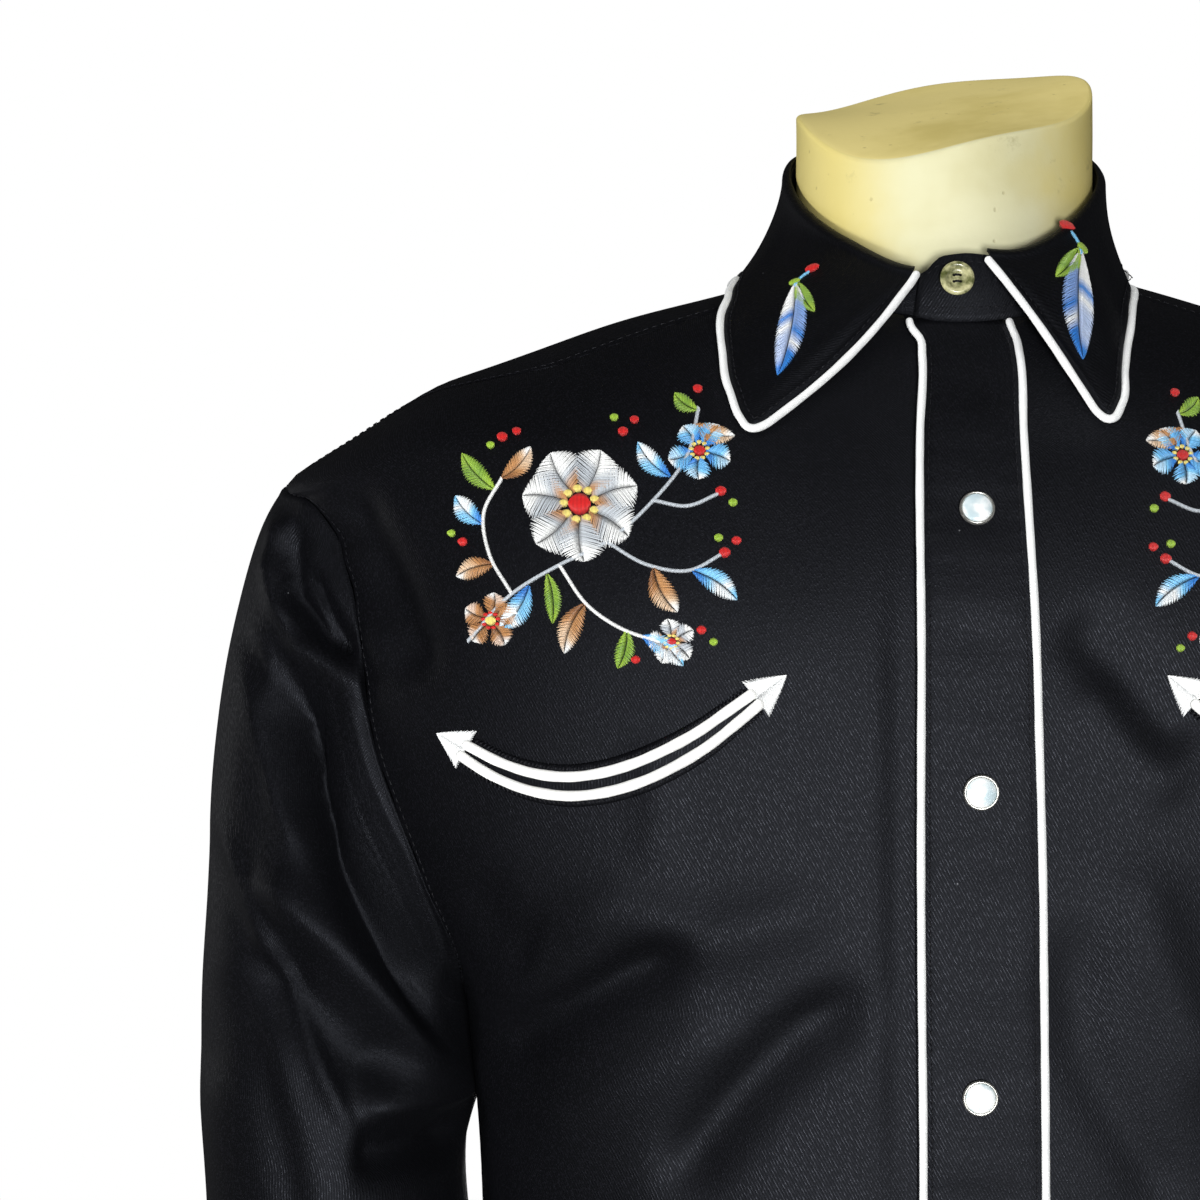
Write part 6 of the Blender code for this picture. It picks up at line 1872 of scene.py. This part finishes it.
def flower_threads(centre, radius, petals, turn, colours, width=0.42, heart=RED, ring=YELLOW):
    """Petals round a centre, then a ring of small knots and a heart."""
    parts = []
    for k in range(petals):
        angle = turn + 2 * pi * k / petals
        reach = radius * (1 + 0.07 * sin(3.1 * k + turn))
        way = np.array((cos(angle), sin(angle)))
        parts.append(leaf_threads(centre + way * radius * 0.20, centre + way * reach, radius * width,
                                  radius * 0.06 * (-1) ** k, colours, 0.35))
    for k in range(9):
        angle = turn + 2 * pi * k / 9
        spot = centre + radius * 0.27 * np.array((cos(angle), sin(angle)))
        parts.append(berry_threads(spot, radius * 0.075, ring))
    parts.append(berry_threads(np.array(centre), radius * 0.19, heart))
    return parts


PETAL_WHITE = (TAN, GREY, WHITE, WHITE)
PETAL_BLUE = (BLUE, SKY, WHITE)
PETAL_TAN = (BROWN, TAN, WHITE)
LEAF_BLUE = (BLUE, SKY, WHITE, SKY)
LEAF_TAN = (BROWN, TAN, (0.70, 0.50, 0.32), WHITE)
LEAF_LIME = (LIME, (0.20, 0.36, 0.05), LIME)
MM = 0.001


def spray():
    """The chest design in metres about its own middle: a curved stem that rises to the right, a large
    flower, two smaller ones, leaves and berries."""
    parts = []
    stems = (
        ((-45, -38), (-30, -22), (-14, -12), (2, -4), (18, 10), (30, 26), (34, 42)),
        ((-14, -12), (-4, -26), (8, -34), (20, -38)),
        ((2, -4), (16, -12), (30, -14), (42, -8)),
        ((-30, -22), (-38, -8), (-40, 6), (-34, 18)),
        ((18, 10), (30, 8), (40, 12)),
    )
    for k, stem in enumerate(stems):
        parts.append(stem_threads(np.array(stem) * MM, 0.0013, WHITE if k % 2 else GREY))
    leaves = (
        ((-24, -19), (-34, -34), 4.2, 1.5, LEAF_BLUE), ((-36, -12), (-49, -16), 3.6, -1.2, LEAF_TAN),
        ((-40, 2), (-50, 12), 3.8, 1.2, LEAF_BLUE), ((-5, -25), (-12, -42), 4.0, -1.6, LEAF_TAN),
        ((9, -34), (6, -47), 3.2, 1.0, LEAF_LIME), ((14, -36), (28, -46), 3.6, 1.4, LEAF_BLUE),
        ((18, -13), (26, -28), 4.2, -1.6, LEAF_TAN), ((31, -14), (46, -24), 3.8, 1.4, LEAF_BLUE),
        ((24, 18), (13, 30), 3.6, 1.4, LEAF_BLUE), ((32, 36), (46, 32), 3.6, -1.4, LEAF_TAN),
        ((34, 41), (26, 47), 3.0, 1.0, LEAF_LIME), ((-34, 18), (-24, 29), 3.6, -1.3, LEAF_TAN),
        ((-36, 14), (-48, 27), 3.6, 1.3, LEAF_LIME), ((-18, -15), (-16, -32), 2.8, 1.0, LEAF_LIME),
    )
    for base, tip, width, bend, colours in leaves:
        parts.append(leaf_threads(np.array(base) * MM, np.array(tip) * MM, width * MM, bend * MM, colours))
    parts += flower_threads(np.array((-7.0, 9.0)) * MM, 20 * MM, 7, 0.3, PETAL_WHITE)
    parts += flower_threads(np.array((34.0, 27.0)) * MM, 10.5 * MM, 5, 0.9, PETAL_BLUE)
    parts += flower_threads(np.array((-37.0, -31.0)) * MM, 9.5 * MM, 5, 0.2, PETAL_TAN, heart=YELLOW, ring=RED)
    parts += flower_threads(np.array((24.0, -38.0)) * MM, 8.0 * MM, 5, 0.5, PETAL_WHITE)
    berries = ((42, -8, 1.9, RED), (46, -4, 1.6, RED), (40, -3, 1.5, LIME), (41, 13, 1.8, RED), (45, 9, 1.5, LIME),
               (-34, 33, 1.8, RED), (-29, 35, 1.5, RED), (-38, 30, 1.4, LIME), (-47, -4, 1.6, RED),
               (-51, -1, 1.4, LIME), (12, -44, 1.5, RED), (34, -34, 1.6, RED), (38, -38, 1.4, LIME),
               (8, 34, 1.7, RED), (12, 38, 1.5, RED), (5, 39, 1.4, LIME), (34, 49, 1.6, RED))
    for x, z, radius, colour in berries:
        parts.append(berry_threads(np.array((x, z)) * MM, radius * MM, colour))
    return parts


def embroider(name, parts, place, normal_at):
    """Sew flat parts on to a surface. place(x, z) gives points and normal_at(x, z) their normals."""
    starts, ends, colours, bows = (np.concatenate(part) for part in zip(*parts))
    middle = (starts + ends) / 2
    points, faces = stitch_bodies(place(starts), place(ends), normal_at(middle), THREAD_RADIUS, 0.00022,
                                  0.0002, 3, bows)
    mesh = build_mesh(name, points, faces)
    shade = mesh.color_attributes.new("thread", "FLOAT_COLOR", "POINT")
    mottle = 1 + 0.10 * np.sin(np.arange(len(colours)) * 1.9)[:, None]
    coloured = np.concatenate((np.clip(colours * mottle, 0, 1), np.ones((len(colours), 1))), axis=1)
    shade.data.foreach_set("color", np.repeat(coloured, 4 * 3, axis=0).astype(np.float32).ravel())
    print(f"{name}: {len(starts)} threads")
    return finish_piece(name, mesh, THREADS)


SPRAY_CENTRES = {"right": (-0.126, 0.724, -1), "left": (0.106, 0.722, 1)}
for side, (x, z, sign) in SPRAY_CENTRES.items():
    embroider(f"flower_spray_{side}", spray(),
              lambda flat: on_front(x - sign * flat[:, 0], z + flat[:, 1], 0.0002),
              lambda flat: normals_at(x - sign * flat[:, 0], z + flat[:, 1]))


# %% [markdown]
# ## Arrowheads
#
# An arrowhead of satin stitch sits at each end of a pocket. Its threads start on the middle line and slant
# back to the two edges, and each is a little longer or shorter than its neighbour.

# %% Arrowheads of the pockets
def arrow_threads(sign, inner):
    """Two fans of threads that slant back from the middle line to the arrowhead's edges; shorter ones fill
    the corner between the first of them and the base."""
    x, z, tx, tz = (float(value) for value in pocket_frame(1.0 if inner else 0.0))
    if not inner:
        tx, tz = -tx, -tz
    length = ARROW_LENGTHS[inner]
    count = int(length / ARROW_PITCH)
    t = np.linspace(0, 0.985, count)
    fill = np.linspace(0.12, 0.92, 8)
    ragged = 1 + 0.035 * np.sin(np.arange(count) * 2.2) + 0.02 * np.sin(np.arange(count) * 5.1)
    starts, ends = [], []
    for half in (-1, 1):
        middle = np.concatenate((fill * ARROW_SLANT, t * length + ARROW_SLANT * (1 - t)))
        edge = np.concatenate((0 * fill, t * length))
        reach = ARROW_HALF_WIDTH * np.concatenate((fill, (1 - t) ** 0.86 * ragged))
        starts.append(np.stack((middle, half * -0.0001 + 0 * middle), axis=-1))
        ends.append(np.stack((edge, half * reach), axis=-1))
    back = np.array((ARROW_BACK, 0.0))
    starts, ends = np.concatenate(starts) - back, np.concatenate(ends) - back
    turned = np.array(((tx, tz), (-tz, tx)))
    starts, ends = ((flat @ turned + (x, z)) * (-sign, 1) for flat in (starts, ends))
    return starts, ends, np.tile((0.93, 0.95, 0.95), (len(starts), 1)), np.full(len(starts), 0.0005)


for side, sign in (("right", -1), ("left", 1)):
    for inner, end in ((0, "outer"), (1, "inner")):
        item = embroider(f"arrowhead_{end}_{side}_satin", [arrow_threads(sign, inner)],
                         lambda flat: on_front(flat[:, 0], flat[:, 1], LAY + 0.0006),
                         lambda flat: normals_at(flat[:, 0], flat[:, 1]))
        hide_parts(f"arrowhead_{end}_{side}")


# %% [markdown]
# ## Sprigs on the collar
#
# The collar's leaf bends in space, so a flat design needs a flat frame there: it is laid along the line from
# the calyx to the tip, and every thread end is then laid on the leaf's point nearest to its flat place.

# %% Sprigs on the collar
SPRIG_LENGTH = 0.030


def collar_sprig(size):
    """A small sprig, hanging point down: one long leaf in white and blue, a lime calyx and a red berry."""
    def at(x, z):
        return x * size, z * size

    shades = (WHITE, WHITE, BLUE, WHITE, BLUE, BLUE)
    return [leaf_threads(at(0, 0.004), at(0.001, -SPRIG_LENGTH), 0.0037 * size, 0.0016 * size, shades, 0.9),
            leaf_threads(at(0.001, 0.004), at(0.0075, -0.008), 0.0022 * size, -0.0008 * size, LEAF_LIME),
            stem_threads((at(0, 0.003), at(0.0006, 0.006), at(0.003, 0.009)), 0.0012 * size, SKY),
            berry_threads(np.array(at(-0.0004, 0.0052)), 0.0016 * size, LIME),
            berry_threads(np.array(at(0.0036, 0.0104)), 0.0020 * size, RED)]


SPRIG_PLACES = {"right": ((-0.0583, 0.8082), (-0.0661, 0.7774)), "left": ((0.0439, 0.8190), (0.0412, 0.7824))}


def make_sprig(side, calyx, tip):
    """Sew a sprig on the leaf, from the point seen at calyx (x, z) down to the one seen at tip."""
    lines = (0.0, 7.0) if side == "right" else (LAST_LINE - 7.0, float(LAST_LINE))
    grid_line, grid_down = np.meshgrid(np.linspace(*lines, 300), np.linspace(0.13, 0.995, 260))
    grid = leaf_point(grid_line, grid_down, np.array(0.0001))
    cloud = grid.reshape(-1, 3)
    spot, end = (np.argmin((cloud[:, 0] - x) ** 2 + (cloud[:, 2] - z) ** 2) for x, z in (calyx, tip))
    here = cloud[spot]
    size = np.linalg.norm(cloud[end] - here) / SPRIG_LENGTH
    row, column = np.unravel_index((spot + end) // 2, grid_line.shape)
    row, column = np.clip(row, 4, 255), np.clip(column, 4, 295)
    fall_line = unit(cloud[end] - here)
    normal = np.cross(grid[row, column + 4] - grid[row, column - 4], grid[row + 4, column] - grid[row - 4, column])
    normal = unit(normal - fall_line * (normal @ fall_line))
    normal = normal * (-1 if normal[1] > 0 else 1)
    across = unit(np.cross(normal, fall_line)) * (1 if side == "right" else -1)
    flat_cloud = np.stack(((cloud - here) @ across, (cloud - here) @ -fall_line), axis=-1)

    def place(flat):
        """The leaf's point whose flat coordinates are the nearest ones, corrected along the tangent plane."""
        gaps = ((flat[:, None, :] - flat_cloud[None, :, :]) ** 2).sum(axis=-1)
        nearest = gaps.argmin(axis=1)
        rest = flat - flat_cloud[nearest]
        return cloud[nearest] + rest[:, :1] * across - rest[:, 1:] * fall_line

    embroider(f"collar_sprig_{side}", collar_sprig(size), place, lambda flat: np.tile(normal, (len(flat), 1)))


for side, sprig in SPRIG_PLACES.items():
    make_sprig(side, *sprig)


# %% Thread in the button's holes
def make_button_thread():
    """Four strands in two pairs: each pair runs straight from one hole to its neighbour."""
    starts, ends = [], []
    for a, b in ((0, 1), (3, 2)):
        for offset in (-0.00016, 0.00016):
            shift = np.array((0.0, offset, 0.0))
            starts.append(button_corners[a] + shift + np.array((0, 0, 0.0018)))
            ends.append(button_corners[b] + shift + np.array((0, 0, 0.0018)))
    starts = stood_on(np.array(starts), button_place, BUTTON_AXIS)
    ends = stood_on(np.array(ends), button_place, BUTTON_AXIS)
    normals = np.tile(unit(BUTTON_AXIS), (len(starts), 1))
    sew("button_thread", [(starts, ends, normals)], BLACK_THREAD, 0.00024, 0.0003)


make_button_thread()

# %% [markdown]
# ## The cut of each sheet
#
# Every sheet of cloth is listed with the size that it was cut to, how it is held and what it rests on, and
# is printed. Width and length are those of the rectangle that the flat piece was cut from, and the area is
# the piece's own. The widths of the sleeves, the yoke and the pocket welts are estimates.

CUTS = {
    "front_right_cloth": (0.300, 0.896, 0.181, "draped", ("dress_form", "yoke_cloth")),
    "front_left_cloth": (0.304, 0.896, 0.183, "draped", ("dress_form", "yoke_cloth")),
    "back_cloth": (0.532, 0.638, 0.282, "draped", ("dress_form", "yoke_cloth")),
    "yoke_cloth": (0.500, 0.270, 0.078, "laid", ("dress_form",)),
    "placket_cloth": (0.040, 0.736, 0.028, "laid", ("front_left_cloth",)),
    "collar_stand_cloth": (0.451, 0.054, 0.0158, "folded", ("dress_form", "yoke_cloth")),
    "collar_leaf_cloth": (0.490, 0.089, 0.0214, "folded", ("collar_stand_cloth", "yoke_cloth")),
    "sleeve_right_cloth": (0.420, 0.578, 0.177, "hung", ("yoke_cloth", "front_right_cloth")),
    "sleeve_left_cloth": (0.420, 0.572, 0.175, "hung", ("yoke_cloth", "front_left_cloth")),
    "cuff_right_cloth": (0.275, 0.066, 0.0179, "folded", ("sleeve_right_cloth",)),
    "cuff_left_cloth": (0.275, 0.066, 0.0179, "folded", ("sleeve_left_cloth",)),
    "sleeve_placket_right_cloth": (0.014, 0.129, 0.0017, "laid", ("sleeve_right_cloth",)),
    "sleeve_placket_left_cloth": (0.014, 0.129, 0.0017, "laid", ("sleeve_left_cloth",)),
    "pocket_welt_right_cloth": (0.117, 0.015, 0.0014, "laid", ("front_right_cloth",)),
    "pocket_welt_left_cloth": (0.117, 0.015, 0.0014, "laid", ("front_left_cloth",)),
}
for name, (width, length, area, held, rests_on) in CUTS.items():
    print(f"{name}: cut {1000 * width:.0f} x {1000 * length:.0f} mm, {held} on {' and '.join(rests_on)}")
